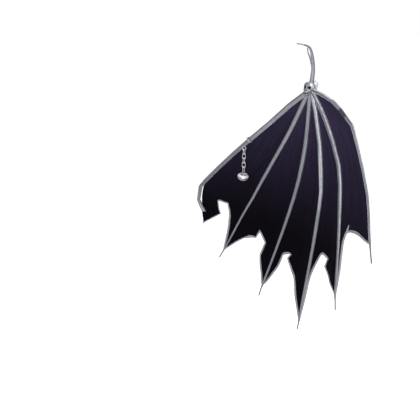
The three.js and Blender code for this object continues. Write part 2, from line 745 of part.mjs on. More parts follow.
// The chain hangs straight down from the eye, each link a quarter turn from the one above.
const chainTop = new THREE.Vector3(EYE_RING.x, EYE_RING.y, EYE_RING.z);
const linkReach = (LINK.length - LINK.wire) / 2;
const pitch = LINK.length - 2 * LINK.wire - LINK.slack;
const eyeFloor = -EYE_RING.radius + EYE_RING.wire / 2 + LINK.wire / 2 + LINK.slack;
for (let i = 0; i < LINK.count; i += 1) {
  const drop = eyeFloor - linkReach - i * pitch;
  const place = chainTop.clone().add(new THREE.Vector3(0, 0, drop));
  addPiece(`chain_link_${i + 1}`, linkGeometry(), 'polished', place, i % 2 === 0 ? Math.PI / 2 : 0);
}
const lastFloor = eyeFloor - linkReach - (LINK.count - 1) * pitch - linkReach;
const bailDrop = lastFloor + LINK.wire / 2 + CHARM.bailWire / 2 + LINK.slack - CHARM.bail;
const charmPlace = chainTop.clone().add(new THREE.Vector3(0, 0, bailDrop));
addPiece('charm', geometryOf(charmSolid()), 'polished', charmPlace);

export default wing;
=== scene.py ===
"""Dresses a devil wing: painted bones, skulls and claws, satin cloth, piping, chain and charm."""

import math
from collections import namedtuple

import bmesh
import bpy
import numpy as np
from mathutils import Matrix, Vector, noise
from mathutils.geometry import delaunay_2d_cdt


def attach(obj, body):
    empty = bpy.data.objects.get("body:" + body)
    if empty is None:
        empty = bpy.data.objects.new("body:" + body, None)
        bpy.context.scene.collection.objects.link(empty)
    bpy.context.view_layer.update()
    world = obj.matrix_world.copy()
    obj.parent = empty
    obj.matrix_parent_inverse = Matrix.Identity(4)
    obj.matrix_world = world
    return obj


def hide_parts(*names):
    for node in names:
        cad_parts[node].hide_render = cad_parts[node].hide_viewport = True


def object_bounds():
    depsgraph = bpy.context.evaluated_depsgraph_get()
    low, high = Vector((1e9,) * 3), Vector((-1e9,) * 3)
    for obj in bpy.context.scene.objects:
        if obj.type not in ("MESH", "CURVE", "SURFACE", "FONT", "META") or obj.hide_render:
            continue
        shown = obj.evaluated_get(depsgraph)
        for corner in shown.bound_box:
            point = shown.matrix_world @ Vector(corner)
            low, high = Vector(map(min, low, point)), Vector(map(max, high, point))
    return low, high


bl_info = {
    "name": "Devil Wing Dresser",
    "version": (1, 0, 0),
    "blender": (4, 5, 0),
    "location": "3D View > Sidebar > Devil Wing",
    "description": "Makes the bones, skulls, cloth, piping and chain of a devil wing",
    "category": "Object",
}

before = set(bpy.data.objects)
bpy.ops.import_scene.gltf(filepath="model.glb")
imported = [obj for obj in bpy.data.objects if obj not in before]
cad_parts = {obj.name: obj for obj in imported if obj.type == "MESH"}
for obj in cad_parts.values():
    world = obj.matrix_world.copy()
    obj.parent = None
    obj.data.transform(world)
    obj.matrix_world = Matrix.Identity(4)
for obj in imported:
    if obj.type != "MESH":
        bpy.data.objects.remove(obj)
cad_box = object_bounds()

# All tables and sizes below are in millimetres, and meshes are scaled to metres at the end.
MM = 0.001

# Bones: x and z of the middle line, and the width there, from the wrist outwards.
BONES = {
    "arm": [
        (246, 306, 9.4), (202, 271, 10.6), (157, 229, 9.9), (108, 185, 10.2), (68, 147, 9.4),
        (36.2, 114, 9.3), (4, 78, 9.3), (-8, 62, 8.9), (-12.7, 28, 7.9), (-7, 13, 8.2), (0, 0, 8.4),
        (3.2, -6, 8.4),
    ],
    "finger_1": [
        (249, 308, 7.8), (271, 303, 7.4), (300.3, 292.5, 6.6), (320, 280, 6.4), (350, 256, 5.8),
        (366.5, 223, 5.2), (401, 143, 4.6), (414.4, 82, 4.5), (420, 56, 4.4), (422, 48, 2.6), (429, 23, 0.9),
    ],
    "finger_2": [
        (247, 308, 8), (259, 296, 8.2), (280, 268, 8.2), (311, 215, 8.6), (329.3, 175, 8.6),
        (337.2, 139, 8.8), (341.3, 100, 9), (348, 12, 6.8), (352, -70, 5.8), (353, -100, 5),
        (354.5, -108, 2.8), (358, -129, 1),
    ],
    "finger_3": [
        (248, 310, 8), (263.8, 266, 8.3), (279, 206, 8.7), (287.6, 152, 9.6), (292.5, 108, 8),
        (288.6, 32, 8.1), (281, -53, 7), (272.3, -144, 6.6), (266.6, -211, 4.6), (266.1, -218, 2.9),
        (265, -233, 1),
    ],
    "finger_4": [
        (248, 310, 8), (248, 264, 8.3), (246.2, 201, 8.5), (234.8, 115, 8.2), (214.5, 31, 6.9),
        (189.3, -58, 5.5), (158, -166, 4.6), (155.8, -173.5, 2.9), (151.4, -194, 1),
    ],
    "finger_5": [
        (247, 310, 8), (225.7, 261, 9), (207.4, 221, 8.3), (145.3, 100, 7), (121, 50, 5.6), (97, 4, 5),
        (52.5, -93, 3.9), (48.5, -101, 2.8), (40, -118, 1),
    ],
}
HUB = (247, 305)
PALM_REACH = 34
SEAM = 0.02
BONE_DEPTH_RATIO = 0.98
FACET_LENGTH = 42.0
KINK_ROUND = 1.6
KINK_SHARE = 0.4
EDGE_STEP = 4.0
FINE_SAMPLES = 700

# Room kept between the rows of a bone: at its cut ends, at its tips and beside a row that is there already.
CUT_ROOM = 0.5
TIP_ROOM = 2
ROW_ROOM = 0.4

# Pace of a curve between its knots.
CENTRIPETAL = 0.5
UNIFORM = 0.0

# The surface that the wing is spread on: its crest, its sweep to the outer edge and the curl of its tips.
CAMBER = {"crest_x": 114, "crest_y": 18, "outer_span": 315, "outer_sweep": 133, "outer_power": 2.3}
TIP_CURL = {"start_z": -10, "span": 220, "forward": 14}
SLOPE_STEP = 0.5

# Bone section: side and height of its six corners, in half widths.
BONE_CORNERS = [(0, 1), (1, 0.5), (1, -0.5), (0, -1), (-1, -0.5), (-1, 0.5)]
CORNER_ROUND = 0.15
CORNER_PULL = 2.6
CORNER_WEAR = 0.45
SPIKE_WIDTHS = (2.6, 4.4)
SPIKE_WASH = 0.45
SPIKE_TIP = 2.7
HORN_TIP = 2.1
EDGE_WEAR = 0.3

# Painted light and shade on the bones' facets: distance from the wrist, then the level on the inboard flats,
# the ridges and the outboard flats there, a painted highlight above 0 and painted shade below. The arm's
# inboard flats are its upper ones.
BONE_PAINTED_LIGHT = {
    "arm": [
        (0, 0.1, 0.25, 0.3), (150, 0.2, 0.3, 0.35), (205, 0.3, -0.15, 0), (300, 0.2, -0.25, -0.1),
        (345, 0, -0.3, -0.3), (400, 0.2, 0.5, 0.1),
    ],
    "finger_1": [
        (0, 0.8, -0.5, 0.9), (54, 0.8, -0.5, 0.9), (56, 0.75, 0.2, 0.3), (76.5, 0.75, 0.2, 0.3),
        (77.5, 0.1, -0.8, -0.6), (94, 0.1, -0.8, -0.6), (95, 0.75, 0.5, -0.3), (150, 0.95, 0.6, 0.1),
        (310, 0.9, 0.55, -0.2),
    ],
    "finger_2": [
        (0, 0.9, -0.3, 0.9), (85, 0.9, -0.35, 0.8), (138, 0.75, -0.35, 0.5), (200, 0.6, -0.45, 0.55),
        (440, 0.5, -0.35, 0.2),
    ],
    "finger_3": [
        (0, 0.1, 0.5, 0.7), (85, 0, 0.45, 0.55), (113, 0.2, 0, 0.6), (140, 0.25, 1, 0.5),
        (205, 0.25, 0.9, 0.5), (260, 0.15, 0.3, 0.1), (540, 0.1, 0.1, -0.1),
    ],
    "finger_4": [
        (0, 0.55, 0.3, -0.25), (85, 0.6, 0.25, -0.3), (113, 0.4, 0, 0.1), (140, 0.45, 0.25, 0.1),
        (190, 0.35, 0.1, -0.05), (400, 0.2, 0.1, -0.1), (510, 0.2, 0.15, 0),
    ],
    "finger_5": [
        (0, 0.4, 0.25, 0.2), (60, 0.4, 0.25, 0.25), (113, 0.35, 0.3, 0.25), (140, 0.2, 0.25, 0.2),
        (220, 0.2, 0.25, -0.05), (470, -0.1, 0, -0.25),
    ],
}
# Painted light and shade on the claws' inboard flats, ridges and outboard flats.
HORN_PAINTED_LIGHT = (-0.15, 0.5, 0.3)

# Bays between the bones: how far the cloth bellies back, its length from the wrist, its free edge and the
# runs of its hem, each with its piping's radius, how far that swells midway and the points it passes.
Run = namedtuple("Run", "piping swell points")
Bay = namedtuple("Bay", "inboard outboard belly length free_edge runs")
ROOT_EDGE = [(6, 78), (-1.4, 62), (-4.6, 49), (-8.4, 29), (-8.6, -3), (-5, -32.8)]
BAYS = [
    Bay("finger_2", "finger_1", 7, 330, (), [
        Run(2, 0.1, [(353.2, -96), (355.6, -56), (356.6, -30), (357, 2), (358, 26), (362.6, 47)]),
        Run(1.8, 0.9, [(362.6, 47), (371, 54), (381, 58.6), (395, 58.6), (418, 56.4)]),
    ]),
    Bay("finger_3", "finger_2", 8, 460, (), [
        Run(1.8, 0.3, [(267.4, -206), (272.4, -172), (277, -135), (280.4, -106), (287.8, -75), (303, -33)]),
        Run(1.8, 0.8, [(303, -33), (308, -28), (315, -27), (323.4, -32)]),
        Run(1.7, 0, [(323.4, -32), (318.2, -52)]),
        Run(1.7, 0.2, [(318.2, -52), (327.8, -66), (340.2, -83.5), (352.5, -97)]),
    ]),
    Bay("finger_4", "finger_3", 9, 500, (), [
        Run(1.9, 0.2, [(158.8, -163), (168, -150.5), (183, -124.6), (196.6, -98.4), (204.4, -72)]),
        Run(1.8, 0.8, [(204.4, -72), (209.4, -66.6), (217, -63.6), (226.4, -64)]),
        Run(1.9, 0, [(226.4, -64), (218.4, -76.4)]),
        Run(2.5, 0.15, [(218.4, -76.4), (233.8, -102), (245.2, -131), (251.6, -160), (265.9, -206)]),
    ]),
    Bay("finger_5", "finger_4", 10, 470, (), [
        Run(1.6, 0.2, [(52, -94.5), (80, -70), (101, -55)]),
        Run(1.6, 1.2, [(101, -55), (117, -49.5), (131, -48)]),
        Run(1.9, 0, [(131, -48), (140.4, -29)]),
        Run(2.1, 0.1, [(140.4, -29), (156.8, -56)]),
        Run(2.1, 0.1, [(156.8, -56), (145.4, -90)]),
        Run(2.1, 0.1, [(145.4, -90), (149.4, -112), (153.8, -135), (157.3, -161)]),
    ]),
    Bay("arm", "finger_5", 15, 400, ROOT_EDGE, [
        Run(1.4, 0, [(-6.2, -33.8), (38.5, -3)]),
        Run(1.2, 0, [(38.5, -3), (31.6, 25.4)]),
        Run(1.7, 0.1, [(31.6, 25.4), (33, 29.8), (43.2, 28.8), (55.6, 24)]),
        Run(1.8, 0.5, [(55.6, 24), (62, 0), (62.2, -17), (60, -45), (50.6, -94)]),
    ]),
]
HEM_SPIKE = {"bay": 0, "base": (364, 48), "tip": (366.6, 65.5), "radius": 2.6, "tip_radius": 1.1}
HEM_SPIKE_STEPS = 9
HEM_SPIKE_RUN = 18
HEM_STEP = 2.5
HEM_SIDES = 12
HEM_DEPTH = 2.2
HEM_ROOM = 2
MITRE_LIMIT = 2.2
MITRE_FLOOR = 0.2
PLEATS = {"count": 3, "height": 1.8}
ROOT_TUCK = {"start": 346, "end": 384, "width": 0.5, "back": 7.5}
BELLY_POWER = 0.8
CLOTH_STEP = 3.4
CLOTH_BITE = 0.9
APEX_ROOM = 1.2
FREE_EDGE_SAMPLES = 80
GRID_ROOM = 0.55
MERGE_ROOM = 0.01

# Fine folds of the cloth: waves across a bay, how far noise moves them, each bay's shift, their height in
# wrinkles, and where they set in: from the wrist for the pulls, as a share of the bay for the flutter.
Fold = namedtuple("Fold", "waves wander shift height reach")
PULLS = Fold(6.5, 0.9, 0.37, 1.0, (40, 180))
FLUTTER = Fold(4.2, 0.6, 0.21, 1.6, (0.72, 1.0))
WANDER = {"size": 110, "seed": 0.5}
PUCKER = {"size": 42, "seed": 7.5, "height": 1.4}

# Shade of the cloth: black below low, full purple a range higher, and raised a little towards the outside.
SHADE = {"low": -20, "range": 286, "power": 1.5, "tilt": 0.12, "tilt_from": 200}
FAN_SPACING = 3
REACH_UNIT = 100

# Claw and spur: x, y, z of the middle line, and the width there.
CLAW = [
    (250.5, -4, 325, 8.9), (253, -8, 342, 8), (254.2, -14, 358, 7), (255.9, -28, 375, 5.4),
    (256.3, -37, 384, 4.6), (255.4, -44, 389.4, 3.9), (250.4, -53.3, 393.4, 3), (240, -66, 396.5, 0.9),
]
CLAW_BASE = (249.5, -1, 312, 9.2)
SPUR = [
    (252.5, -10.5, 348, 3.8), (247.5, -8, 361, 3.2), (243.4, -5, 369, 2.8), (239.1, -5, 377.6, 2.2),
    (238.1, -6.7, 386.2, 0.8),
]
KNUCKLE = {"centre": (248, -0.5, 312), "width": 18, "depth": 8.8, "height": 24}
HORN_STEP = 1.6
HORN_FRONT = (0.35, -0.94, 0.0)
LUMP_LEVEL = 4
LUMP_WEAR = 0.2

# Skulls: where each one sits, its turn about the upright axis, its roll to one side and how much painted
# highlight lightens it all over.
SKULLS = {
    "skull_front": {"centre": (246.3, -8.6, 311.5), "turn": -6, "roll": 8, "pale": 0.1},
    "skull_back": {"centre": (247.6, 14.6, 311.5), "turn": 186, "roll": 0, "pale": 0.95},
}
CRANIUM = {"centre": (0, 0, 3), "radii": (10.2, 10, 9.7)}
FACE = {"centre": (0, -4.2, -6.8), "radii": (7.2, 6.4, 9.7)}
SKULL_BLEND = 1.6
SKULL_BLEND_SHARE = 0.35
SKULL_LEVEL = 6

# Round skull marks: middle, sideways and up, and half size, about the skull's own middle. The temple's are
# measured from front to back.
Spot = namedtuple("Spot", "middle height half_width half_height")
SOCKET = Spot(4.7, 1.8, 2.9, 3.0)
BROW = Spot(4.6, 5.9, 3.6, 1.0)
CHEEK = Spot(6.6, -3.2, 1.9, 1.2)
HOLLOW = Spot(6.0, -7.0, 1.8, 2.0)
TEMPLE = Spot(-4.2, 2.6, 2.6, 3.0)
NOSE = Spot(0, -3.2, 1.0, 1.7)
NOSE_FLARE = {"top": -2.0, "drop": 3, "widening": 0.25}
MOUTH = {"height": -9.5, "curve": 0.035, "half_height": 0.8, "corners": (6.0, 7.2)}
TEETH = {"lips": (1.4, 2.2), "ends": (4.2, 5.2), "pitch": 1.75, "sharpness": 8}
FACE_EDGE = (-5.0, 0.5)
TEMPLE_SIDE = (6.5, 8.5)

# What each mark does: pressed inwards, pushed sideways, painted shade by a power, and a painted highlight.
Mark = namedtuple("Mark", "inward outward wash power wear")
MARKS = {
    "socket": Mark(5.0, 0, 2.2, 1.7, 0),
    "brow": Mark(-0.7, 0, 0, 1, 0.2),
    "nose": Mark(2.4, 0, 0.7, 1.4, 0),
    "cheek": Mark(0, 0.7, 0, 1, 0.3),
    "hollow": Mark(0, -0.8, 0, 1, 0),
    "temple": Mark(0, -0.6, 0, 1, 0),
    "mouth": Mark(1.1, 0, 1.6, 1, 0),
    "teeth": Mark(0.4, 0, 0.2, 1, 0),
}
# Painted highlights on each skull's crown and upper flanks: heights or sides where they set in, and their
# share.
CROWN_HIGHLIGHT = {"heights": (6, 12.5), "share": 0.5}
FLANK_HIGHLIGHT = {"sides": (4.5, 8), "heights": (-4, 3), "share": 0.8}

# Metal: the arm's collar, the soldered eye, the links and the hanging charm.
COLLAR = {"at": (108, 185), "inner": 6.2, "outer": 7.3, "length": 3.6, "lip": 0.35}
COLLAR_SQUARE = 1.25
COLLAR_LIP_POWER = 8
COLLAR_SIDES = 20
TURNED_STEPS = 64
RING_STEPS = 48
WIRE_SIDES = 14
SOLDER_SHAPE = (0.85, 1.0, 0.75)
EYE_RING = {"centre": (98.4, 12.4, 166.5), "radius": 4.3, "wire": 2, "solder": 2.6, "solder_back": 1.7}
LINK = {"length": 14, "width": 9.5, "wire": 1.7, "count": 5, "first": 158.3, "pitch": 10.1, "tarnish": 0.72}
# Painted highlight at the links' bends: where the painted shade on their straight sides fades out.
LINK_HIGHLIGHT = (0.45, 0.85)
# Even darkening of the collar, eye, solder and bail: tarnish and painted shade.
SHADE_AND_TARNISH = {"collar": 0.76, "eye": 0.6, "solder": 0.68, "bail": 0.91}
BAIL = {"radius": 3.3, "wire": 1.6, "height": 110.5}
CHARM_HEIGHT = 99.4
CHARM_LEAN = 10
STEM_TOP = 7.4
AXIS_ROOM = 0.02
KNOT_SAMPLES = 4

# The charm's outline: radius, height from its middle, and darkening: painted shade and painted reflection
# bands with some tarnish.
CHARM_PROFILE = [
    (0, 8.1, 0.6), (1.5, 7.7, 0.6), (1.5, 5, 0.6), (4.6, 4.7, 0.4), (7.2, 5, 0.35), (8.2, 5.9, 0),
    (9.1, 6.4, 0), (10.2, 6, 0), (11.7, 4.6, 0), (12.8, 2.6, 0), (13.1, 1.4, 0.6), (12.8, 0.6, 0.95),
    (13, -0.4, 0.95), (12.6, -2.4, 0.75), (11.6, -4.4, 0.7), (9.5, -6.2, 0.74), (6.2, -7.6, 0.8),
    (0, -8.4, 0.8),
]

# Studio, in degrees and metres: where each light stands about the middle, and its share of the power.
Lamp = namedtuple("Lamp", "name azimuth elevation distance size share")
LAMPS = [
    Lamp("key_light", 18, 8, 1.5, 0.5, 0.44),
    Lamp("side_light", 85, 50, 1.4, 0.5, 0.30),
    Lamp("fill_light", -70, 15, 1.9, 1.2, 0.05),
    Lamp("back_light", 200, 30, 1.8, 1.0, 0.21),
]
LIGHT_MIDDLE = (0.22, -0.03, 0.1)
SKY_SHARES = (0.45, 1.3)
WHITE = (1.0, 1.0, 1.0, 1.0)
FLOOR = {"radius": 40.0, "sides": 96}

# Camera film in millimetres, shading of the meshes, and a mix node's places for its share and two colours.
SENSOR_WIDTH = 36.0
CREASE_ANGLE = 50
FACET_WEIGHT = 100
MIX = {"share": 0, "first": 6, "second": 7, "result": 2}


def smoothstep(low, high, value):
    """0 below low, 1 above high and an even curve between them."""
    share = np.clip((np.asarray(value, float) - low) / (high - low), 0, 1)
    return share * share * (3 - 2 * share)


def unit(vectors):
    """The same vectors at length one."""
    lengths = np.linalg.norm(vectors, axis=-1, keepdims=True)
    return vectors / np.maximum(lengths, 1e-9)


def circle(count):
    """Angles spaced evenly round a circle."""
    return np.linspace(0, 2 * np.pi, count, endpoint=False)


def spline(knots, share, pace):
    """Points at each share of the way along a smooth curve through the knots."""
    knots = np.asarray(knots, float)
    before, after = knots[0], knots[-1]
    if pace:
        before = 2 * knots[0] - knots[1]
        after = 2 * knots[-1] - knots[-2]
    held = np.vstack([before, knots, after])
    place = np.clip(share, 0, 1) * (len(knots) - 1)
    first = np.minimum(place.astype(int), len(knots) - 2)
    part = (place - first)[:, None]
    p0, p1, p2, p3 = (held[first + offset] for offset in range(4))

    def gap(a, b):
        return np.maximum(np.linalg.norm(b - a, axis=1), 1e-6)[:, None] ** pace

    d0, d1, d2 = gap(p0, p1), gap(p1, p2), gap(p2, p3)
    leave = ((p1 - p0) / d0 - (p2 - p0) / (d0 + d1) + (p2 - p1) / d1) * d1
    arrive = ((p2 - p1) / d1 - (p3 - p1) / (d1 + d2) + (p3 - p2) / d2) * d1
    square = 3 * (p2 - p1) - 2 * leave - arrive
    cube = 2 * (p1 - p2) + leave + arrive
    return p1 + leave * part + square * part**2 + cube * part**3


def resample(columns, step):
    """Rows spaced evenly by about a step along the line of the first three columns."""
    columns = np.asarray(columns, float)
    lengths = np.linalg.norm(np.diff(columns[:, :3], axis=0), axis=1)
    run = np.concatenate([[0], np.cumsum(lengths)])
    count = max(2, int(round(run[-1] / step)) + 1)
    stops = np.linspace(0, run[-1], count)
    return np.column_stack([np.interp(stops, run, column) for column in columns.T])


def surface_y(x, z):
    """Depth of the cambered surface that the wing is spread on."""
    crest_x, crest_y = CAMBER["crest_x"], CAMBER["crest_y"]
    inboard = crest_y * (np.maximum(0, crest_x - x) / crest_x) ** 2
    outward = np.maximum(0, x - crest_x) / CAMBER["outer_span"]
    outboard = CAMBER["outer_sweep"] * outward ** CAMBER["outer_power"]
    low = TIP_CURL["forward"] * (np.maximum(0, TIP_CURL["start_z"] - z) / TIP_CURL["span"]) ** 2
    return crest_y - inboard - outboard - low


def surface_front(x, z):
    """Unit normals of that surface, towards the front."""
    step = SLOPE_STEP
    slope_x = (surface_y(x + step, z) - surface_y(x - step, z)) / (2 * step)
    slope_z = (surface_y(x, z + step) - surface_y(x, z - step)) / (2 * step)
    return unit(np.stack([slope_x, -np.ones_like(slope_x), slope_z], axis=-1))


def from_hub(x, z):
    """Distance from the wrist, in the front view."""
    return np.hypot(x - HUB[0], z - HUB[1])


def fan_angle(x, z):
    """Angle round the wrist, from the arm's side to the outer finger's."""
    return np.arctan2(x - HUB[0], HUB[1] - z)


def bone_facets(name):
    """Rows of x, y, z and width where a bone's long facets meet."""
    rows = np.array(BONES[name], float)
    knots = np.column_stack([rows[:, 0], surface_y(rows[:, 0], rows[:, 1]), rows[:, 1]])
    places = [0.0]
    for index, length in enumerate(np.linalg.norm(np.diff(knots, axis=0), axis=1)):
        steps = max(1, round(length / FACET_LENGTH))
        places += [index + (step + 1) / steps for step in range(steps)]
    places = np.array(places)
    widths = np.maximum(np.interp(places, np.arange(len(rows)), rows[:, 2]), SPIKE_TIP)
    return np.column_stack([spline(knots, places / (len(rows) - 1), CENTRIPETAL), widths])


def trim_line(line, start, stop):
    """The stretch of a bone's rows between two distances from the wrist, with rows at both ends."""
    radius = from_hub(line[:, 0], line[:, 2])
    ends = [np.array([np.interp(at, radius, column) for column in line.T]) for at in (start, stop)]
    inner = line[(radius > start + CUT_ROOM) & (radius < stop - CUT_ROOM)]
    return np.vstack([ends[0], inner, ends[1]])


def split_line(line, distances):
    """A bone's rows with one more at each distance from the wrist that lies between its ends."""
    radius = from_hub(line[:, 0], line[:, 2])
    between = [at for at in distances if radius[0] + TIP_ROOM < at < radius[-1] - TIP_ROOM]
    added = [at for at in between if np.abs(radius - at).min() > ROW_ROOM]
    stops = np.sort(np.concatenate([radius, added]))
    return np.column_stack([np.interp(stops, radius, column) for column in line.T])


def soften_kinks(line, room):
    """The same rows with each inner one split in two, so that the facets meet in a narrow band."""
    rows = [line[0]]
    for before, here, after in zip(line[:-2], line[1:-1], line[2:]):
        for other in (before, after):
            length = np.linalg.norm(other[:3] - here[:3])
            rows.append(here + (other - here) * min(KINK_SHARE, room / length))
    return np.vstack([*rows, line[-1]])


BONE_FACETS = {name: bone_facets(name) for name in BONES}
BONE_LINES = {name: resample(line, EDGE_STEP) for name, line in BONE_FACETS.items()}


def bone_section():
    """Side, height and wear of the points round a bone, with soft corners."""
    corners = np.array(BONE_CORNERS, float)
    rows = []
    for index, corner in enumerate(corners):
        before = corner + (corners[index - 1] - corner) * CORNER_ROUND
        following = corners[(index + 1) % len(corners)]
        after = corner + (following - corner) * CORNER_ROUND
        middle = (before + CORNER_PULL * corner + after) / (CORNER_PULL + 2)
        flat = (corner + following) / 2
        rows += [(*before, CORNER_WEAR), (*middle, 1), (*after, CORNER_WEAR), (*flat, 0)]
    return np.array(rows)


BONE_SECTION = bone_section()


def heading(points):
    """The way that a line runs at each of its points."""
    return unit(np.gradient(points, axis=0))


def sweep(points, along, half_widths, half_depths, front, section):
    """Rings of a section carried along a line, its height towards the front."""
    across = unit(np.cross(along, front))
    face = np.cross(across, along)
    sides = half_widths[:, None] * section[None, :, 0]
    heights = half_depths[:, None] * section[None, :, 1]
    return points[:, None] + across[:, None] * sides[..., None] + face[:, None] * heights[..., None]


def skin(rings, closed=False):
    """Vertices and faces over a row of rings, capped at both ends or joined into a loop."""
    count, around = rings.shape[:2]
    faces = []
    for ring in range(count if closed else count - 1):
        near, far = ring * around, (ring + 1) % count * around
        for side in range(around):
            following = (side + 1) % around
            faces.append((near + side, near + following, far + following, far + side))
    if not closed:
        faces.append(tuple(range(around)))
        faces.append(tuple(range((count - 1) * around, count * around)))
    return rings.reshape(-1, 3), faces


def merge(parts):
    """One list of vertices, faces and traits from several."""
    verts, faces, traits = [], [], {}
    offset = 0
    for part_verts, part_faces, part_traits in parts:
        verts.append(part_verts)
        faces += [tuple(index + offset for index in face) for face in part_faces]
        for key, values in part_traits.items():
            traits.setdefault(key, []).append(np.asarray(values, float))
        offset += len(part_verts)
    joined = {key: np.concatenate(values) for key, values in traits.items()}
    return np.vstack(verts), faces, joined


def make_piece(name, verts, faces, traits):
    """A mesh object from millimetre vertices, with its traits kept as attributes."""
    mesh = bpy.data.meshes.new(name)
    mesh.from_pydata((np.asarray(verts) * MM).tolist(), [], faces)
    for key, values in traits.items():
        layer = mesh.attributes.new(key, "FLOAT", "POINT")
        layer.data.foreach_set("value", np.asarray(values, np.float32))
    shell = bmesh.new()
    shell.from_mesh(mesh)
    bmesh.ops.recalc_face_normals(shell, faces=shell.faces[:])
    shell.to_mesh(mesh)
    shell.free()
    piece = bpy.data.objects.new(name, mesh)
    bpy.context.scene.collection.objects.link(piece)
    return piece


def bake_modifiers(piece):
    """Keeps what the piece's modifiers make and clears them."""
    bpy.context.view_layer.update()
    graph = bpy.context.evaluated_depsgraph_get()
    baked = bpy.data.meshes.new_from_object(piece.evaluated_get(graph))
    piece.modifiers.clear()
    piece.data = baked


def cut_clear(piece, other):
    """Cuts another piece's room out of a closed one."""
    cut = piece.modifiers.new("room", "BOOLEAN")
    cut.operation = "DIFFERENCE"
    cut.object = other
    cut.solver = "EXACT"
    cut.use_self = True
    bake_modifiers(piece)


def cut_plane(piece, away):
    """Takes off what lies past a plane through the origin, and closes the cut."""
    shell = bmesh.new()
    shell.from_mesh(piece.data)
    every = shell.verts[:] + shell.edges[:] + shell.faces[:]
    cut = bmesh.ops.bisect_plane(shell, geom=every, plane_co=(0, 0, 0), plane_no=away, clear_outer=True)
    rim = [item for item in cut["geom_cut"] if isinstance(item, bmesh.types.BMEdge)]
    bmesh.ops.holes_fill(shell, edges=rim, sides=0)
    bmesh.ops.recalc_face_normals(shell, faces=shell.faces[:])
    shell.to_mesh(piece.data)
    shell.free()


def shade(piece, crisp):
    """Smooth shading; a crisp piece keeps its facets flat between the soft corners."""
    piece.data.shade_smooth()
    piece.data.set_sharp_from_angle(angle=math.radians(CREASE_ANGLE))
    if crisp:
        weigh = piece.modifiers.new("facets", "WEIGHTED_NORMAL")
        weigh.weight = FACET_WEIGHT
        weigh.keep_sharp = True


def dress(piece, material, slot, body, *nodes, crisp=False):
    """Gives a piece its finish and its place in the assembly."""
    piece.data.materials.clear()
    piece.data.materials.append(material)
    shade(piece, crisp)
    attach(piece, body)
    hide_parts(*nodes)


def bone_node(name):
    """The node of a bone."""
    return "arm_bone" if name == "arm" else name


def cloth_place(bay, x, z):
    """Share of the way across a bay, from its inboard bone, and distance from the wrist."""
    radius = from_hub(x, z)
    edges = []
    for name in (bay.inboard, bay.outboard):
        line = BONE_LINES[name]
        edges.append(np.interp(radius, from_hub(line[:, 0], line[:, 2]), fan_angle(line[:, 0], line[:, 2])))
    across = (fan_angle(x, z) - edges[0]) / np.maximum(edges[1] - edges[0], 1e-3)
    return across, radius


def soft_noise(x, z, size, seed):
    """Smooth noise from -1 to 1 over the front view."""
    return np.array([noise.noise(Vector((a / size, seed, b / size))) for a, b in zip(x, z)])


def cloth_depth(index, x, z, wrinkle):
    """How far the cloth of a bay hangs behind the bones' surface."""
    bay = BAYS[index]
    across, radius = cloth_place(bay, x, z)
    reach = np.clip(radius / bay.length, 0, 1)
    inside = np.sin(np.pi * np.clip(across, 0, 1))
    depth = bay.belly * inside * np.sin(np.pi * reach**BELLY_POWER)
    depth += PLEATS["height"] * inside * reach * np.cos(2 * np.pi * PLEATS["count"] * across)
    if bay.free_edge:
        tuck = smoothstep(ROOT_TUCK["start"], ROOT_TUCK["end"], radius)
        depth += ROOT_TUCK["back"] * tuck * (1 - smoothstep(0, ROOT_TUCK["width"], across))
    wander = soft_noise(x, z, WANDER["size"], index + WANDER["seed"])
    for fold, along in ((PULLS, radius), (FLUTTER, radius / bay.length)):
        wave = np.sin(2 * np.pi * (fold.waves * across + fold.wander * wander + fold.shift * index))
        depth += fold.height * wrinkle * inside * wave * smoothstep(*fold.reach, along)
    pucker = soft_noise(x, z, PUCKER["size"], index + PUCKER["seed"])
    return depth + PUCKER["height"] * wrinkle * inside * pucker


def cloth_point(index, x, z, wrinkle):
    """Points of a bay's cloth under the front view's x and z."""
    return np.column_stack([x, surface_y(x, z) + cloth_depth(index, x, z, wrinkle), z])


def hem_stations(index):
    """Rows of x, z, piping radius and run along a bay's hem."""
    rows = []
    start = 0.0
    for run in BAYS[index].runs:
        share = np.linspace(0, 1, FINE_SAMPLES // 2)
        line = spline(run.points, share, UNIFORM)
        flat = np.column_stack([line[:, 0], np.zeros(len(line)), line[:, 1]])
        even = resample(flat, HEM_STEP)
        part = np.linspace(0, 1, len(even))
        radius = run.piping * (1 + run.swell * np.sin(np.pi * part))
        length = np.linalg.norm(np.diff(even, axis=0), axis=1)
        travelled = start + np.concatenate([[0], np.cumsum(length)])
        start = travelled[-1]
        block = np.column_stack([even[:, 0], even[:, 2], radius, travelled])
        rows.append(block if not rows else block[1:])
    return np.vstack(rows)


def bone_edge(name, toward, stop):
    """x and z along the side of a bone that faces a bay, from the wrist out to a distance."""
    line = BONE_LINES[name]
    along = heading(line[:, [0, 2]])
    side = np.column_stack([-along[:, 1], along[:, 0]]) * toward
    edge = line[:, [0, 2]] + side * (line[:, 3:4] / 2 - CLOTH_BITE)
    return edge[from_hub(line[:, 0], line[:, 2]) < stop]


def cloth_outline(index):
    """Closed outline of a bay's cloth in the front view."""
    bay = BAYS[index]
    hem = hem_stations(index)
    inboard_end = bay.free_edge[0] if bay.free_edge else hem[0, :2]
    inboard = bone_edge(bay.inboard, 1, from_hub(*inboard_end) - HEM_ROOM)
    outboard = bone_edge(bay.outboard, -1, from_hub(*hem[-1, :2]) - HEM_ROOM)
    inner_radius, outer_radius = from_hub(*inboard.T), from_hub(*outboard.T)
    facing = np.interp(inner_radius, outer_radius, fan_angle(*outboard.T))
    room = (facing - fan_angle(*inboard.T)) * inner_radius
    apex = inner_radius[np.argmax(room > APEX_ROOM)]
    inboard = inboard[inner_radius >= apex]
    outboard = outboard[outer_radius >= apex]
    free = np.zeros((0, 2))
    if bay.free_edge:
        share = np.linspace(0, 1, FREE_EDGE_SAMPLES)
        line = spline(bay.free_edge, share, UNIFORM)
        free = resample(np.column_stack([line[:, 0], np.zeros(len(line)), line[:, 1]]), HEM_STEP)[:, [0, 2]]
    return np.vstack([inboard, free, hem[:, :2], outboard[::-1]])


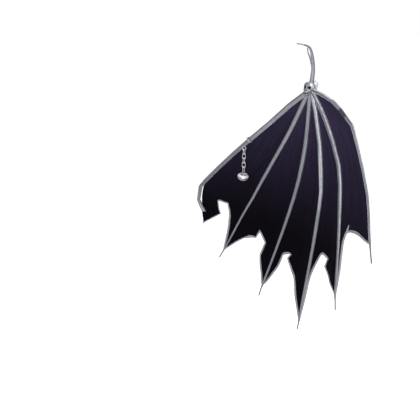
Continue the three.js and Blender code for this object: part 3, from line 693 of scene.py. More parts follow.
def inside_outline(points, outline):
    """Which points lie inside a closed outline."""
    inside = np.zeros(len(points), bool)
    following = np.roll(outline, -1, axis=0)
    for (x0, z0), (x1, z1) in zip(outline, following):
        if z0 == z1:
            continue
        spans = (points[:, 1] < z0) != (points[:, 1] < z1)
        crossing = x0 + (points[:, 1] - z0) * (x1 - x0) / (z1 - z0)
        inside ^= spans & (points[:, 0] < crossing)
    return inside


def largest_patch(faces, count):
    """The faces of the largest connected patch."""
    group = list(range(count))

    def root(index):
        while group[index] != index:
            group[index] = group[group[index]]
            index = group[index]
        return index

    for face in faces:
        for corner in face[1:]:
            group[root(face[0])] = root(corner)
    tally = {}
    for face in faces:
        tally.setdefault(root(face[0]), []).append(face)
    return max(tally.values(), key=len)


def cloth_net(index):
    """Points in the front view and triangles of a bay's cloth."""
    outline = cloth_outline(index)
    low, high = outline.min(axis=0), outline.max(axis=0)
    rows = np.arange(low[1], high[1], CLOTH_STEP * math.sqrt(3) / 2)
    grid = []
    for number, z in enumerate(rows):
        xs = np.arange(low[0] + (number % 2) * CLOTH_STEP / 2, high[0], CLOTH_STEP)
        grid.append(np.column_stack([xs, np.full(len(xs), z)]))
    grid = np.vstack(grid)
    grid = grid[inside_outline(grid, outline)]
    nearest = np.full(len(grid), np.inf)
    for point in outline:
        nearest = np.minimum(nearest, np.hypot(*(grid - point).T))
    grid = grid[nearest > CLOTH_STEP * GRID_ROOM]
    points = np.vstack([outline, grid])
    inside_triangles = 1
    found = delaunay_2d_cdt(
        [Vector(point) for point in points], [], [list(range(len(outline)))], inside_triangles, MERGE_ROOM
    )
    flat = np.array([tuple(point) for point in found[0]])
    faces = largest_patch([tuple(face) for face in found[2]], len(flat))
    used = sorted({corner for face in faces for corner in face})
    place = {old: new for new, old in enumerate(used)}
    return flat[used], [tuple(place[corner] for corner in face) for face in faces]


def triangle_normals(points, faces):
    """Normal of each triangle, twice as long as its area."""
    first, second, third = points[np.array(faces)].transpose(1, 0, 2)
    return np.cross(second - first, third - first)


def thicken(points, faces, thickness):
    """A closed sheet of that thickness about a patch of triangles."""
    face_normals = triangle_normals(points, faces)
    normals = np.zeros_like(points)
    for corner in range(3):
        np.add.at(normals, np.array(faces)[:, corner], face_normals)
    normals = unit(normals) * thickness / 2
    count = len(points)
    verts = np.vstack([points + normals, points - normals])
    back = [(c + count, b + count, a + count) for a, b, c in faces]
    seen = [edge for a, b, c in faces for edge in ((a, b), (b, c), (c, a))]
    known = set(seen)
    walls = [(end, start, start + count, end + count) for start, end in seen if (end, start) not in known]
    return verts, list(faces) + back + walls


def add_node(tree, kind, sockets=None, **settings):
    """A shader node with its settings, and its sockets set or linked."""
    node = tree.nodes.new(kind)
    for key, value in settings.items():
        setattr(node, key, value)
    for key, value in (sockets or {}).items():
        plug(tree, node.inputs[key], value)
    return node


def plug(tree, socket, value):
    """Links a socket to another one, or sets its value."""
    if isinstance(value, bpy.types.NodeSocket):
        tree.links.new(value, socket)
    else:
        socket.default_value = value


def mix_colours(tree, share, first, second):
    """A colour between two, by share."""
    node = tree.nodes.new("ShaderNodeMix")
    node.data_type = "RGBA"
    plug(tree, node.inputs[MIX["share"]], share)
    plug(tree, node.inputs[MIX["first"]], first)
    plug(tree, node.inputs[MIX["second"]], second)
    return node.outputs[MIX["result"]]


def rescale(tree, value, low, high, to_low, to_high):
    """A value moved from one range to another, kept inside it."""
    sockets = {"Value": value, "From Min": low, "From Max": high, "To Min": to_low, "To Max": to_high}
    return add_node(tree, "ShaderNodeMapRange", sockets, clamp=True).outputs["Result"]


def maths(tree, operation, first, second=0.0):
    """One sum on two values."""
    node = add_node(tree, "ShaderNodeMath", operation=operation)
    plug(tree, node.inputs[0], first)
    plug(tree, node.inputs[1], second)
    return node.outputs[0]


def trait(tree, name):
    """A piece's own attribute."""
    return add_node(tree, "ShaderNodeAttribute", attribute_name=name).outputs["Fac"]


def place_on_piece(tree, stretch=(1, 1, 1)):
    """Object coordinates in metres, stretched by axis."""
    coordinates = tree.nodes.new("ShaderNodeTexCoord").outputs["Object"]
    return add_node(tree, "ShaderNodeMapping", {"Vector": coordinates, "Scale": stretch}).outputs["Vector"]


def cloud(tree, scale, detail=3.0, vector=None):
    """Noise over the piece."""
    sockets = {"Scale": scale, "Detail": detail, "Roughness": 0.55}
    sockets["Vector"] = vector if vector is not None else place_on_piece(tree)
    return add_node(tree, "ShaderNodeTexNoise", sockets).outputs["Fac"]


def opaque(colour):
    """A colour with full alpha."""
    return (*colour[:3], 1.0)


def tinted(colour, share):
    """A lighter or darker colour."""
    return tuple(min(1.0, channel * share) for channel in colour[:3]) + (1.0,)


def new_material(name):
    """An empty material, its node tree and its shader."""
    material = bpy.data.materials.new(name)
    material.use_nodes = True
    tree = material.node_tree
    return material, tree, tree.nodes["Principled BSDF"]


def set_sockets(shader, **values):
    """Sets the shader's own sockets that are the same all over the surface."""
    for key, value in values.items():
        shader.inputs[key.replace("_", " ")].default_value = value


def add_bump(tree, shader, strength, distance, height):
    """Fine relief, with its depth in metres."""
    bump = add_node(tree, "ShaderNodeBump", {"Strength": strength, "Distance": distance, "Height": height})
    plug(tree, shader.inputs["Normal"], bump.outputs["Normal"])


def painted_silver(name, body_colour, highlight_and_ridge_colour, shade_and_wash_colour):
    """Satin silver paint over cast resin: painted highlights and rubbed ridges, painted shade in recesses
    and on facets, and a faint grain.
    """
    material, tree, shader = new_material(name)
    blotches = cloud(tree, 38.0, 4.0)
    tone = rescale(tree, blotches, 0.3, 0.7, 0.0, 1.0)
    base = mix_colours(tree, tone, tinted(body_colour, 0.86), tinted(body_colour, 1.12))
    patchy = rescale(tree, cloud(tree, 210.0), 0.3, 0.65, 0.6, 0.95)
    # Painted highlight and rubbed edge wear, mixed towards the highlight colour.
    lightening = maths(tree, "MULTIPLY", trait(tree, "wear"), patchy)
    lightened = mix_colours(tree, maths(tree, "POWER", lightening, 1.5), base, opaque(highlight_and_ridge_colour))
    speckle = rescale(tree, cloud(tree, 900.0, 2.0), 0.62, 0.72, 0.0, 0.35)
    flecked = mix_colours(tree, speckle, lightened, opaque(highlight_and_ridge_colour))
    # Painted shade in recesses and on facets, and the darker spike tips, mixed towards the shade colour.
    shaded_and_washed = mix_colours(tree, trait(tree, "wash"), flecked, opaque(shade_and_wash_colour))
    plug(tree, shader.inputs["Base Color"], shaded_and_washed)
    plug(tree, shader.inputs["Roughness"], rescale(tree, cloud(tree, 120.0), 0.3, 0.7, 0.36, 0.54))
    set_sockets(shader, Metallic=0.35, Specular_IOR_Level=0.45)
    grain = cloud(tree, 1500.0, 2.0)
    dents = cloud(tree, 160.0, 3.0)
    relief = maths(tree, "ADD", maths(tree, "MULTIPLY", dents, 1.6), maths(tree, "MULTIPLY", grain, 0.35))
    add_bump(tree, shader, 0.3, 0.0004, relief)
    return material


def satin_cloth(settings):
    """Dark satin: purple at the wrist and black at the hem, with painted fold shading in soft streaks and a
    fine weave.
    """
    material, tree, shader = new_material("wing_satin")
    fan = maths(tree, "MULTIPLY", trait(tree, "fan"), 11.0)
    reach = maths(tree, "MULTIPLY", trait(tree, "reach"), 2.1)
    spread = add_node(tree, "ShaderNodeCombineXYZ", {"X": fan, "Y": reach, "Z": 0.0}).outputs["Vector"]
    # Painted fold shading: soft lighter and darker streaks running out from the wrist.
    fold_shading = rescale(tree, cloud(tree, 1.0, 2.0, spread), 0.36, 0.6, 0.78, 1.04)
    level = maths(tree, "MULTIPLY", trait(tree, "shade"), fold_shading)
    base = mix_colours(tree, level, opaque(settings.hem_colour), opaque(settings.wrist_colour))
    plug(tree, shader.inputs["Base Color"], base)
    plug(tree, shader.inputs["Roughness"], rescale(tree, cloud(tree, 60.0), 0.3, 0.7, 0.62, 0.8))
    set_sockets(shader, Specular_IOR_Level=0.02, Sheen_Weight=0.02, Sheen_Roughness=0.45)
    set_sockets(shader, Sheen_Tint=opaque((0.62, 0.52, 0.85)))
    threads = []
    for axis in ("X", "Z"):
        wave = {"Scale": 260.0, "Distortion": 0.6, "Detail": 1.0, "Vector": place_on_piece(tree)}
        threads.append(add_node(tree, "ShaderNodeTexWave", wave, bands_direction=axis).outputs["Fac"])
    weave = maths(tree, "MAXIMUM", threads[0], maths(tree, "MULTIPLY", threads[1], 0.6))
    slubs = maths(tree, "MULTIPLY", cloud(tree, 1.0, 2.0, place_on_piece(tree, (900.0, 900.0, 70.0))), 0.8)
    relief = maths(tree, "ADD", weave, slubs)
    add_bump(tree, shader, 0.35, 0.00025, relief)
    return material


def grey_piping(settings):
    """Twisted grey piping: a raised thread along the run, with a painted highlight on its crown."""
    material, tree, shader = new_material("grey_piping")
    turn = maths(tree, "ADD", maths(tree, "MULTIPLY", trait(tree, "run"), 2.6), trait(tree, "round"))
    twist = maths(tree, "SINE", turn)
    lift = rescale(tree, twist, -1.0, 1.0, 0.0, 1.0)
    patches = rescale(tree, cloud(tree, 55.0, 3.0), 0.35, 0.65, 0.0, 1.0)
    colour = settings.piping_colour
    base = mix_colours(tree, patches, tinted(colour, 0.84), tinted(colour, 1.14))
    # Painted highlight where the twisted thread stands highest.
    crown_highlighted = mix_colours(tree, maths(tree, "MULTIPLY", lift, 0.35), base, tinted(colour, 1.5))
    plug(tree, shader.inputs["Base Color"], crown_highlighted)
    plug(tree, shader.inputs["Roughness"], rescale(tree, cloud(tree, 300.0), 0.3, 0.7, 0.5, 0.68))
    set_sockets(shader, Specular_IOR_Level=0.4, Sheen_Weight=0.15, Sheen_Roughness=0.4)
    fibres = maths(tree, "MULTIPLY", cloud(tree, 1800.0, 2.0), 0.5)
    relief = maths(tree, "ADD", lift, fibres)
    add_bump(tree, shader, 0.4, 0.0003, relief)
    return material


def polished_silver(settings):
    """Satin-polished plate with fine scratches, a thin tarnish and painted shade."""
    material, tree, shader = new_material("silver_plate")
    colour = settings.metal_colour
    specks = rescale(tree, cloud(tree, 140.0, 4.0), 0.45, 0.68, 0.0, 0.55)
    plate = mix_colours(tree, specks, opaque(colour), tinted(colour, 0.6))
    # Darkening towards a near-black silver: tarnish, painted shade and painted reflection bands.
    base = mix_colours(tree, trait(tree, "tarnish"), plate, tinted(colour, 0.16))
    plug(tree, shader.inputs["Base Color"], base)
    set_sockets(shader, Metallic=0.25)
    scratches = cloud(tree, 1.0, 3.0, place_on_piece(tree, (500.0, 500.0, 2600.0)))
    plug(tree, shader.inputs["Roughness"], rescale(tree, scratches, 0.35, 0.65, 0.22, 0.36))
    add_bump(tree, shader, 0.12, 0.00015, scratches)
    return material


def pale_floor(colour):
    """Matt studio paper with a faint mottle."""
    material, tree, shader = new_material("studio_paper")
    mottle = rescale(tree, cloud(tree, 3.0), 0.3, 0.7, 0.0, 1.0)
    plug(tree, shader.inputs["Base Color"], mix_colours(tree, mottle, tinted(colour, 0.99), opaque(colour)))
    set_sockets(shader, Roughness=0.9, Specular_IOR_Level=0.1)
    set_sockets(shader, Emission_Color=opaque(colour), Emission_Strength=0.8)
    return material


def shared_material(name, maker, *details):
    """The material of that name, made the first time it is asked for."""
    return bpy.data.materials.get(name) or maker(*details)


def bone_paint(settings):
    """The bones' silver paint."""
    colours = (settings.bone_colour, settings.highlight_and_ridge_colour, settings.shade_and_wash_colour)
    return shared_material("bone_silver", painted_silver, "bone_silver", *colours)


def facet_painted_light(painted_light_levels, widths):
    """Painted highlight with edge wear, and painted shade with darker spike tips, round each row of a bone,
    from its inboard, ridge and outboard light levels.
    """
    inner, ridge, outer = np.asarray(painted_light_levels, float).T
    corners = np.stack([ridge, inner, inner, ridge, outer, outer], axis=1)
    flats = np.stack([inner, inner, inner, outer, outer, outer], axis=1)
    around = np.stack([corners, corners, corners, flats], axis=2).reshape(len(widths), -1)
    spike = SPIKE_WASH * (1 - smoothstep(*SPIKE_WIDTHS, widths))
    wear = np.clip(around, 0, 1) + EDGE_WEAR * BONE_SECTION[:, 2]
    wash = np.clip(-around, 0, 1) + spike[:, None]
    return {"wear": np.clip(wear, 0, 1).ravel(), "wash": np.clip(wash, 0, 1).ravel()}


def bone_shape(name, start, stop):
    """Vertices, faces and traits of the stretch of a bone between two distances from the wrist."""
    table = np.array(BONE_PAINTED_LIGHT[name], float)
    line = soften_kinks(split_line(trim_line(BONE_FACETS[name], start, stop), table[:, 0]), KINK_ROUND)
    points, halves = line[:, :3], line[:, 3] / 2
    front = surface_front(points[:, 0], points[:, 2])
    rings = sweep(points, heading(points), halves, halves * BONE_DEPTH_RATIO, front, BONE_SECTION)
    verts, faces = skin(rings)
    radius = from_hub(points[:, 0], points[:, 2])
    # Painted light and shade of each row, read from the table at its distance from the wrist.
    painted_light_levels = np.column_stack([np.interp(radius, table[:, 0], column) for column in table.T[1:]])
    return verts, faces, facet_painted_light(painted_light_levels, line[:, 3])


def horn_line(table, step):
    """Rows of x, y, z and width along a claw."""
    rows = np.array(table, float)
    share = np.linspace(0, 1, FINE_SAMPLES)
    points = spline(rows[:, :3], share, CENTRIPETAL)
    widths = np.interp(share * (len(rows) - 1), np.arange(len(rows)), rows[:, 3])
    return resample(np.column_stack([points, np.maximum(widths, HORN_TIP)]), step)


def horn_shape(table, step):
    """Vertices, faces and traits of a claw with the bones' section."""
    line = horn_line(table, step)
    front = np.tile(HORN_FRONT, (len(line), 1))
    points, halves = line[:, :3], line[:, 3] / 2
    rings = sweep(points, heading(points), halves, halves * BONE_DEPTH_RATIO, front, BONE_SECTION)
    verts, faces = skin(rings)
    return verts, faces, facet_painted_light(np.tile(HORN_PAINTED_LIGHT, (len(line), 1)), line[:, 3])


def ball_net(level):
    """Vertices and faces of a ball of radius one."""
    ball = bmesh.new()
    bmesh.ops.create_icosphere(ball, subdivisions=level, radius=1.0)
    verts = np.array([tuple(vert.co) for vert in ball.verts])
    faces = [tuple(vert.index for vert in face.verts) for face in ball.faces]
    ball.free()
    return verts, faces


def ball_shape(centre, radii):
    """Vertices, faces and traits of an egg-shaped lump."""
    verts, faces = ball_net(LUMP_LEVEL)
    traits = {"wear": np.full(len(verts), LUMP_WEAR), "wash": np.zeros(len(verts))}
    return verts * np.array(radii) + np.array(centre), faces, traits


def ring_shape(centre, radius, wire, facing=(0, 1, 0), straight=0.0):
    """Vertices and faces of an upright wire loop; straight lengthens it into a link."""
    front, up = np.array(facing, float), np.array((0.0, 0.0, 1.0))
    side = np.cross(up, front)
    turn = circle(RING_STEPS)
    lift = np.sign(np.sin(turn)) * straight / 2
    loop = np.outer(np.cos(turn) * radius, side) + np.outer(np.sin(turn) * radius + lift, up)
    points = loop + np.array(centre, float)
    along = unit(np.roll(points, -1, axis=0) - np.roll(points, 1, axis=0))
    outward = np.cross(along, front)
    angle = circle(WIRE_SIDES)[None, :, None]
    across = np.cos(angle) * outward[:, None] + np.sin(angle) * front
    return skin(points[:, None] + across * wire / 2, closed=True)


def lathe_shape(profile):
    """Vertices, faces and traits of a turned form from rows of radius, height and darkening by tarnish and
    painted shade.
    """
    profile = np.array(profile, float)
    share = np.linspace(0, 1, KNOT_SAMPLES * len(profile))
    radius, height = spline(profile[:, :2], share, CENTRIPETAL).T
    radius = np.maximum(radius, AXIS_ROOM)
    tarnish = np.interp(share * (len(profile) - 1), np.arange(len(profile)), profile[:, 2])
    turn = circle(TURNED_STEPS)
    level = np.repeat(height[:, None], TURNED_STEPS, axis=1)
    rings = np.stack([np.outer(radius, np.cos(turn)), np.outer(radius, np.sin(turn)), level], axis=-1)
    return *skin(rings), {"tarnish": np.repeat(tarnish, TURNED_STEPS)}


def evenly_shaded_and_tarnished(shape, share):
    """The trait of a metal shape darkened evenly, as tarnish and painted shade."""
    return {"tarnish": np.full(len(shape[0]), share)}


def dent(value, width):
    """A soft round dent or bump, 1 in the middle."""
    return np.exp(-((value / width) ** 2))


def spot_mark(spot, across, z):
    """A round mark on the skull, 1 in its middle."""
    beside = (across - spot.middle) / spot.half_width
    above = (z - spot.height) / spot.half_height
    return dent(np.hypot(beside, above), 1.0)


def egg_reach(rays, egg):
    """How far each ray from the skull's middle runs inside an egg."""
    centre, radii = np.array(egg["centre"], float), np.array(egg["radii"], float)
    square = np.sum((rays / radii) ** 2, axis=1)
    half = np.sum(rays * centre / radii**2, axis=1)
    rest = np.sum((centre / radii) ** 2) - 1
    return (half + np.sqrt(half**2 - square * rest)) / square


def skull_marks(x, y, z):
    """How strongly each mark of a skull shows at its points."""
    side = np.abs(x)
    ahead = 1 - smoothstep(*FACE_EDGE, y)
    flare = np.clip(NOSE_FLARE["top"] - z, 0, NOSE_FLARE["drop"])
    nose = NOSE._replace(half_width=NOSE.half_width + NOSE_FLARE["widening"] * flare)
    smile = z - MOUTH["height"] - MOUTH["curve"] * x**2
    corners = 1 - smoothstep(*MOUTH["corners"], side)
    band = (1 - smoothstep(*TEETH["lips"], np.abs(smile))) * (1 - smoothstep(*TEETH["ends"], side))
    gaps = (0.5 + 0.5 * np.cos(2 * np.pi * (x / TEETH["pitch"] + 0.5))) ** TEETH["sharpness"]
    return {
        "socket": ahead * spot_mark(SOCKET, side, z),
        "brow": ahead * spot_mark(BROW, side, z),
        "nose": ahead * spot_mark(nose, side, z),
        "cheek": ahead * spot_mark(CHEEK, side, z),
        "hollow": ahead * spot_mark(HOLLOW, side, z),
        "temple": spot_mark(TEMPLE, y, z) * smoothstep(*TEMPLE_SIDE, side),
        "mouth": ahead * dent(np.abs(smile), MOUTH["half_height"]) * corners,
        "teeth": ahead * band * gaps,
    }


def skull_shape(pale):
    """Vertices, faces and traits of a small skull that faces the front, about its own middle."""
    ball, faces = ball_net(SKULL_LEVEL)
    rays = unit(ball)
    cranium, face = egg_reach(rays, CRANIUM), egg_reach(rays, FACE)
    bridge = np.sqrt((cranium - face) ** 2 + SKULL_BLEND**2) - SKULL_BLEND * SKULL_BLEND_SHARE
    points = rays * ((cranium + face + bridge) / 2)[:, None]
    x, y, z = points.T.copy()
    shown = skull_marks(x, y, z)
    points[:, 1] += sum(mark.inward * shown[name] for name, mark in MARKS.items())
    points[:, 0] += np.sign(x) * sum(mark.outward * shown[name] for name, mark in MARKS.items())
    # Painted shade in the sockets, the nose, the mouth and between the teeth.
    wash = np.clip(sum(mark.wash * shown[name] ** mark.power for name, mark in MARKS.items()), 0, 1)
    # Painted highlights on the flanks, crown, brow and cheeks, and all over by pale.
    flank = smoothstep(*FLANK_HIGHLIGHT["sides"], np.abs(x)) * smoothstep(*FLANK_HIGHLIGHT["heights"], z)
    lightened = CROWN_HIGHLIGHT["share"] * smoothstep(*CROWN_HIGHLIGHT["heights"], z) + FLANK_HIGHLIGHT["share"] * flank
    lightened += sum(mark.wear * shown[name] for name, mark in MARKS.items())
    return points, faces, {"wear": np.clip(pale + lightened - wash, 0, 1), "wash": wash}


def colour_setting(name, description, default):
    """A colour that a user would change."""
    return bpy.props.FloatVectorProperty(
        name=name, description=description, subtype="COLOR", size=3, min=0.0, max=1.0, default=default
    )


class BoneSettings(bpy.types.PropertyGroup):
    """Colours of the painted bones, skulls and claws."""

    bone_colour: colour_setting("Bone colour", "Silver paint on the flats", (0.148, 0.153, 0.174))
    # Colour of the painted highlights and of the rubbed ridges.
    highlight_and_ridge_colour: colour_setting("Ridge colour", "Paint rubbed bright on the ridges", (0.58, 0.59, 0.645))
    # Colour of the painted shade, and of the darker spike tips.
    shade_and_wash_colour: colour_setting("Recess colour", "Dark wash in the recesses", (0.004, 0.004, 0.005))
    skull_colour: colour_setting("Skull colour", "Paler paint on the skulls", (0.2, 0.204, 0.226))


class ClothSettings(bpy.types.PropertyGroup):
    """Sizes and colours of the satin."""

    wrist_colour: colour_setting("Wrist colour", "Satin near the wrist", (0.03, 0.0228, 0.052))
    hem_colour: colour_setting("Hem colour", "Satin near the hem", (0.0021, 0.0016, 0.003))
    thickness: bpy.props.FloatProperty(
        name="Thickness", description="Thickness of the lined satin", unit="LENGTH",
        min=0.0004, max=0.003, default=0.0011,
    )
    wrinkle: bpy.props.FloatProperty(
        name="Wrinkles", description="Height of the pulls between the bones", unit="LENGTH",
        min=0.0, max=0.003, default=0.00055,
    )


class TrimSettings(bpy.types.PropertyGroup):
    """Colours of the piping and the metal."""

    piping_colour: colour_setting("Piping colour", "Grey of the piping", (0.225, 0.229, 0.256))
    metal_colour: colour_setting(
        "Metal colour", "Silver plate of the chain, collar and charm", (0.86, 0.865, 0.905)
    )


class StageSettings(bpy.types.PropertyGroup):
    """Camera, floor and lights."""

    azimuth: bpy.props.FloatProperty(
        name="Azimuth", description="Camera's turn round the wing", subtype="ANGLE",
        default=math.radians(31.0),
    )
    elevation: bpy.props.FloatProperty(
        name="Elevation", description="Camera's height as an angle", subtype="ANGLE",
        default=math.radians(21.5),
    )
    distance: bpy.props.FloatProperty(
        name="Distance", description="From the camera to what it looks at", unit="LENGTH", default=1.216
    )
    target: bpy.props.FloatVectorProperty(
        name="Target", description="Point the camera looks at", subtype="XYZ", size=3,
        default=(0.012, 0.008, 0.002),
    )
    lens: bpy.props.FloatProperty(name="Lens", description="Focal length in millimetres", default=42.857)
    floor_drop: bpy.props.FloatProperty(
        name="Floor drop", description="How far below the wing the floor lies", unit="LENGTH", default=0.9
    )
    floor_colour: colour_setting("Floor colour", "Studio paper", (0.97, 0.97, 0.97))
    sky_strength: bpy.props.FloatProperty(
        name="Sky", description="Strength of the white surround", default=0.26
    )
    light_power: bpy.props.FloatProperty(
        name="Light power", description="Power of all the lights together", unit="POWER", default=50.0
    )


class DEVILWING_OT_stage(bpy.types.Operator):
    """Make the camera, the pale floor and the soft studio lights"""

    bl_idname = "devil_wing.make_stage"
    bl_label = "Make stage"

    def execute(self, context):
        settings = context.scene.devil_stage
        target = Vector(settings.target)
        self.add_camera(context, settings, target)
        self.add_floor(context, settings)
        self.add_sky(context, settings)
        for lamp in LAMPS:
            self.add_light(context, lamp, settings.light_power * lamp.share)
        context.scene.view_settings.view_transform = "Standard"
        return {"FINISHED"}

    @staticmethod
    def direction(azimuth, elevation):
        flat = math.cos(elevation)
        return Vector((math.sin(azimuth) * flat, -math.cos(azimuth) * flat, math.sin(elevation)))

    def add_camera(self, context, settings, target):
        camera = bpy.data.objects.new("camera", bpy.data.cameras.new("camera"))
        back = self.direction(settings.azimuth, settings.elevation)
        camera.location = target + back * settings.distance
        camera.rotation_euler = back.to_track_quat("Z", "Y").to_euler()
        camera.data.lens = settings.lens
        camera.data.sensor_width = SENSOR_WIDTH
        context.scene.collection.objects.link(camera)
        context.scene.camera = camera

    def add_floor(self, context, settings):
        mesh = bpy.data.meshes.new("floor")
        paper = bmesh.new()
        size = {"segments": FLOOR["sides"], "radius": FLOOR["radius"]}
        bmesh.ops.create_circle(paper, cap_ends=True, cap_tris=True, **size)
        paper.to_mesh(mesh)
        paper.free()
        floor = bpy.data.objects.new("floor", mesh)
        floor.location = (0.0, 0.0, cad_box[0][2] - settings.floor_drop)
        context.scene.collection.objects.link(floor)
        floor.data.materials.append(pale_floor(settings.floor_colour))
        floor.visible_diffuse = False

    def add_sky(self, context, settings):
        world = bpy.data.worlds.new("studio")
        world.use_nodes = True
        tree = world.node_tree
        place = tree.nodes.new("ShaderNodeTexCoord").outputs["Generated"]
        up = add_node(tree, "ShaderNodeSeparateXYZ", {"Vector": place}).outputs["Z"]
        low, high = (share * settings.sky_strength for share in SKY_SHARES)
        glow = rescale(tree, up, -1.0, 1.0, low, high)
        surround = tree.nodes["Background"]
        plug(tree, surround.inputs["Strength"], glow)
        surround.inputs["Color"].default_value = WHITE
        backdrop = add_node(tree, "ShaderNodeBackground", {"Color": WHITE})
        seen = tree.nodes.new("ShaderNodeLightPath").outputs["Is Camera Ray"]
        both = add_node(tree, "ShaderNodeMixShader", {"Fac": seen})
        tree.links.new(surround.outputs[0], both.inputs[1])
        tree.links.new(backdrop.outputs[0], both.inputs[2])
        tree.links.new(both.outputs[0], tree.nodes["World Output"].inputs["Surface"])
        context.scene.world = world

    def add_light(self, context, lamp, power):
        glow = bpy.data.lights.new(lamp.name, "AREA")
        glow.energy = power
        glow.size = lamp.size
        light = bpy.data.objects.new(lamp.name, glow)
        back = self.direction(math.radians(lamp.azimuth), math.radians(lamp.elevation))
        light.location = Vector(LIGHT_MIDDLE) + back * lamp.distance
        light.rotation_euler = back.to_track_quat("Z", "Y").to_euler()
        context.scene.collection.objects.link(light)


class DEVILWING_OT_bones(bpy.types.Operator):
    """Make the arm and the five fingers"""

    bl_idname = "devil_wing.make_bones"
    bl_label = "Make bones"

    def execute(self, context):
        paint = bone_paint(context.scene.devil_bones)
        for name, line in BONE_FACETS.items():
            node = bone_node(name)
            shape = bone_shape(name, PALM_REACH + SEAM, from_hub(line[-1, 0], line[-1, 2]))
            piece = make_piece(node + "_painted", *shape)
            if name == "arm":
                cut_plane(piece, (0, 0, -1))
            dress(piece, paint, "silver_bone", "wing", node, crisp=True)
        return {"FINISHED"}


class DEVILWING_OT_palm(bpy.types.Operator):
    """Make the wrist, where the bones and the claw run together"""

    bl_idname = "devil_wing.make_palm"
    bl_label = "Make palm"

    def execute(self, context):
        paint = bone_paint(context.scene.devil_bones)
        radii = np.array([KNUCKLE["width"], KNUCKLE["depth"], KNUCKLE["height"]]) / 2
        claw_stub = np.array([CLAW_BASE, CLAW[0]], float)
        claw_stub[1, 2] -= SEAM
        parts = [ball_shape(KNUCKLE["centre"], radii), horn_shape(claw_stub, HORN_STEP)]
        for name, line in BONE_FACETS.items():
            parts.append(bone_shape(name, from_hub(line[0, 0], line[0, 2]), PALM_REACH))
        palm = make_piece("palm_painted", *merge(parts))
        dress(palm, paint, "silver_bone", "wing", "palm", crisp=True)
        return {"FINISHED"}


class DEVILWING_OT_skulls(bpy.types.Operator):
    """Make the skulls at the front and back of the wrist"""

    bl_idname = "devil_wing.make_skulls"
    bl_label = "Make skulls"

    def execute(self, context):
        settings = context.scene.devil_bones
        paint = painted_silver(
            "skull_silver", settings.skull_colour, settings.highlight_and_ridge_colour, settings.shade_and_wash_colour
        )
        palm = bpy.data.objects["palm_painted"]
        for node, place in SKULLS.items():
            points, faces, traits = skull_shape(place["pale"])
            turn = Matrix.Rotation(math.radians(place["turn"]), 3, "Z")
            roll = Matrix.Rotation(math.radians(place["roll"]), 3, "Y")
            spin = np.array(turn @ roll)
            skull = make_piece(node + "_painted", points @ spin.T + np.array(place["centre"]), faces, traits)
            cut_clear(skull, palm)
            cut_plane(skull, (0, -math.copysign(1, place["centre"][1]), 0))
            dress(skull, paint, "silver_bone", "wing", node)
        return {"FINISHED"}


class DEVILWING_OT_claws(bpy.types.Operator):
    """Make the hooked thumb claw and its spur"""

    bl_idname = "devil_wing.make_claws"
    bl_label = "Make claws"

    def execute(self, context):
        paint = bone_paint(context.scene.devil_bones)
        for node, table, step in (("thumb_claw", CLAW, HORN_STEP), ("thumb_spur", SPUR, HORN_STEP / 2)):
            horn = make_piece(node + "_painted", *horn_shape(table, step))
            dress(horn, paint, "silver_bone", "wing", node, crisp=True)
        return {"FINISHED"}


class DEVILWING_OT_hems(bpy.types.Operator):
    """Make the piping along the torn hem of each bay"""

    bl_idname = "devil_wing.make_hems"
    bl_label = "Make hems"

    def execute(self, context):
        piping = grey_piping(context.scene.devil_trim)
        wrinkle = context.scene.devil_cloth.wrinkle / MM
        for index in range(len(BAYS)):
            parts = [self.piping_shape(index, hem_stations(index), wrinkle)]
            if index == HEM_SPIKE["bay"]:
                parts.append(self.piping_shape(index, self.spike_stations(), wrinkle))
            node = f"hem_{index + 1}"
            piece = make_piece(node + "_piping", *merge(parts))
            dress(piece, piping, "silver_piping", "wing", node)
        return {"FINISHED"}

    def spike_stations(self):
        share = np.linspace(0, 1, HEM_SPIKE_STEPS)[:, None]
        line = np.array(HEM_SPIKE["base"]) * (1 - share) + np.array(HEM_SPIKE["tip"]) * share
        radius = HEM_SPIKE["radius"] * (1 - share) + HEM_SPIKE["tip_radius"] * share
        return np.column_stack([line, radius, share * HEM_SPIKE_RUN])

    def piping_shape(self, index, stations, wrinkle):
        points = cloth_point(index, stations[:, 0], stations[:, 1], wrinkle)
        arriving = unit(points - np.vstack([points[:1] - (points[1:2] - points[:1]), points[:-1]]))
        leaving = unit(np.vstack([points[1:], points[-1:] + (points[-1:] - points[-2:-1])]) - points)
        along = unit(arriving + leaving)
        mitre = np.minimum(MITRE_LIMIT, 1 / np.maximum(np.sum(along * leaving, axis=1), MITRE_FLOOR))
        front = surface_front(points[:, 0], points[:, 2])
        turn = circle(HEM_SIDES)
        section = np.column_stack([np.cos(turn), np.sin(turn)])
        radius = stations[:, 2]
        rings = sweep(points, along, radius * mitre, np.minimum(radius, HEM_DEPTH), front, section)
        traits = {"run": np.repeat(stations[:, 3], HEM_SIDES), "round": np.tile(turn, len(stations))}
        return *skin(rings), traits


class DEVILWING_OT_cloth(bpy.types.Operator):
    """Make the satin of each bay, stretched between its bones and hem"""

    bl_idname = "devil_wing.make_cloth"
    bl_label = "Make cloth"

    def execute(self, context):
        settings = context.scene.devil_cloth
        satin = satin_cloth(settings)
        for index, bay in enumerate(BAYS):
            flat, faces = cloth_net(index)
            points = cloth_point(index, flat[:, 0], flat[:, 1], settings.wrinkle / MM)
            verts, closed = thicken(points, faces, settings.thickness / MM)
            across, radius = cloth_place(bay, flat[:, 0], flat[:, 1])
            height = flat[:, 1] + SHADE["tilt"] * (flat[:, 0] - SHADE["tilt_from"])
            traits = {
                "shade": np.clip((height - SHADE["low"]) / SHADE["range"], 0, 1) ** SHADE["power"],
                "fan": across + FAN_SPACING * index,
                "reach": radius / REACH_UNIT,
            }
            doubled = {key: np.tile(values, 2) for key, values in traits.items()}
            node = f"membrane_{index + 1}"
            piece = make_piece(node + "_satin", verts, closed, doubled)
            dress(piece, satin, "wing_cloth", "wing", node)
            self.declare(piece, index, points, faces)
        return {"FINISHED"}

    def declare(self, piece, index, points, faces):
        area = float(np.linalg.norm(triangle_normals(points * MM, faces), axis=1).sum() / 2)


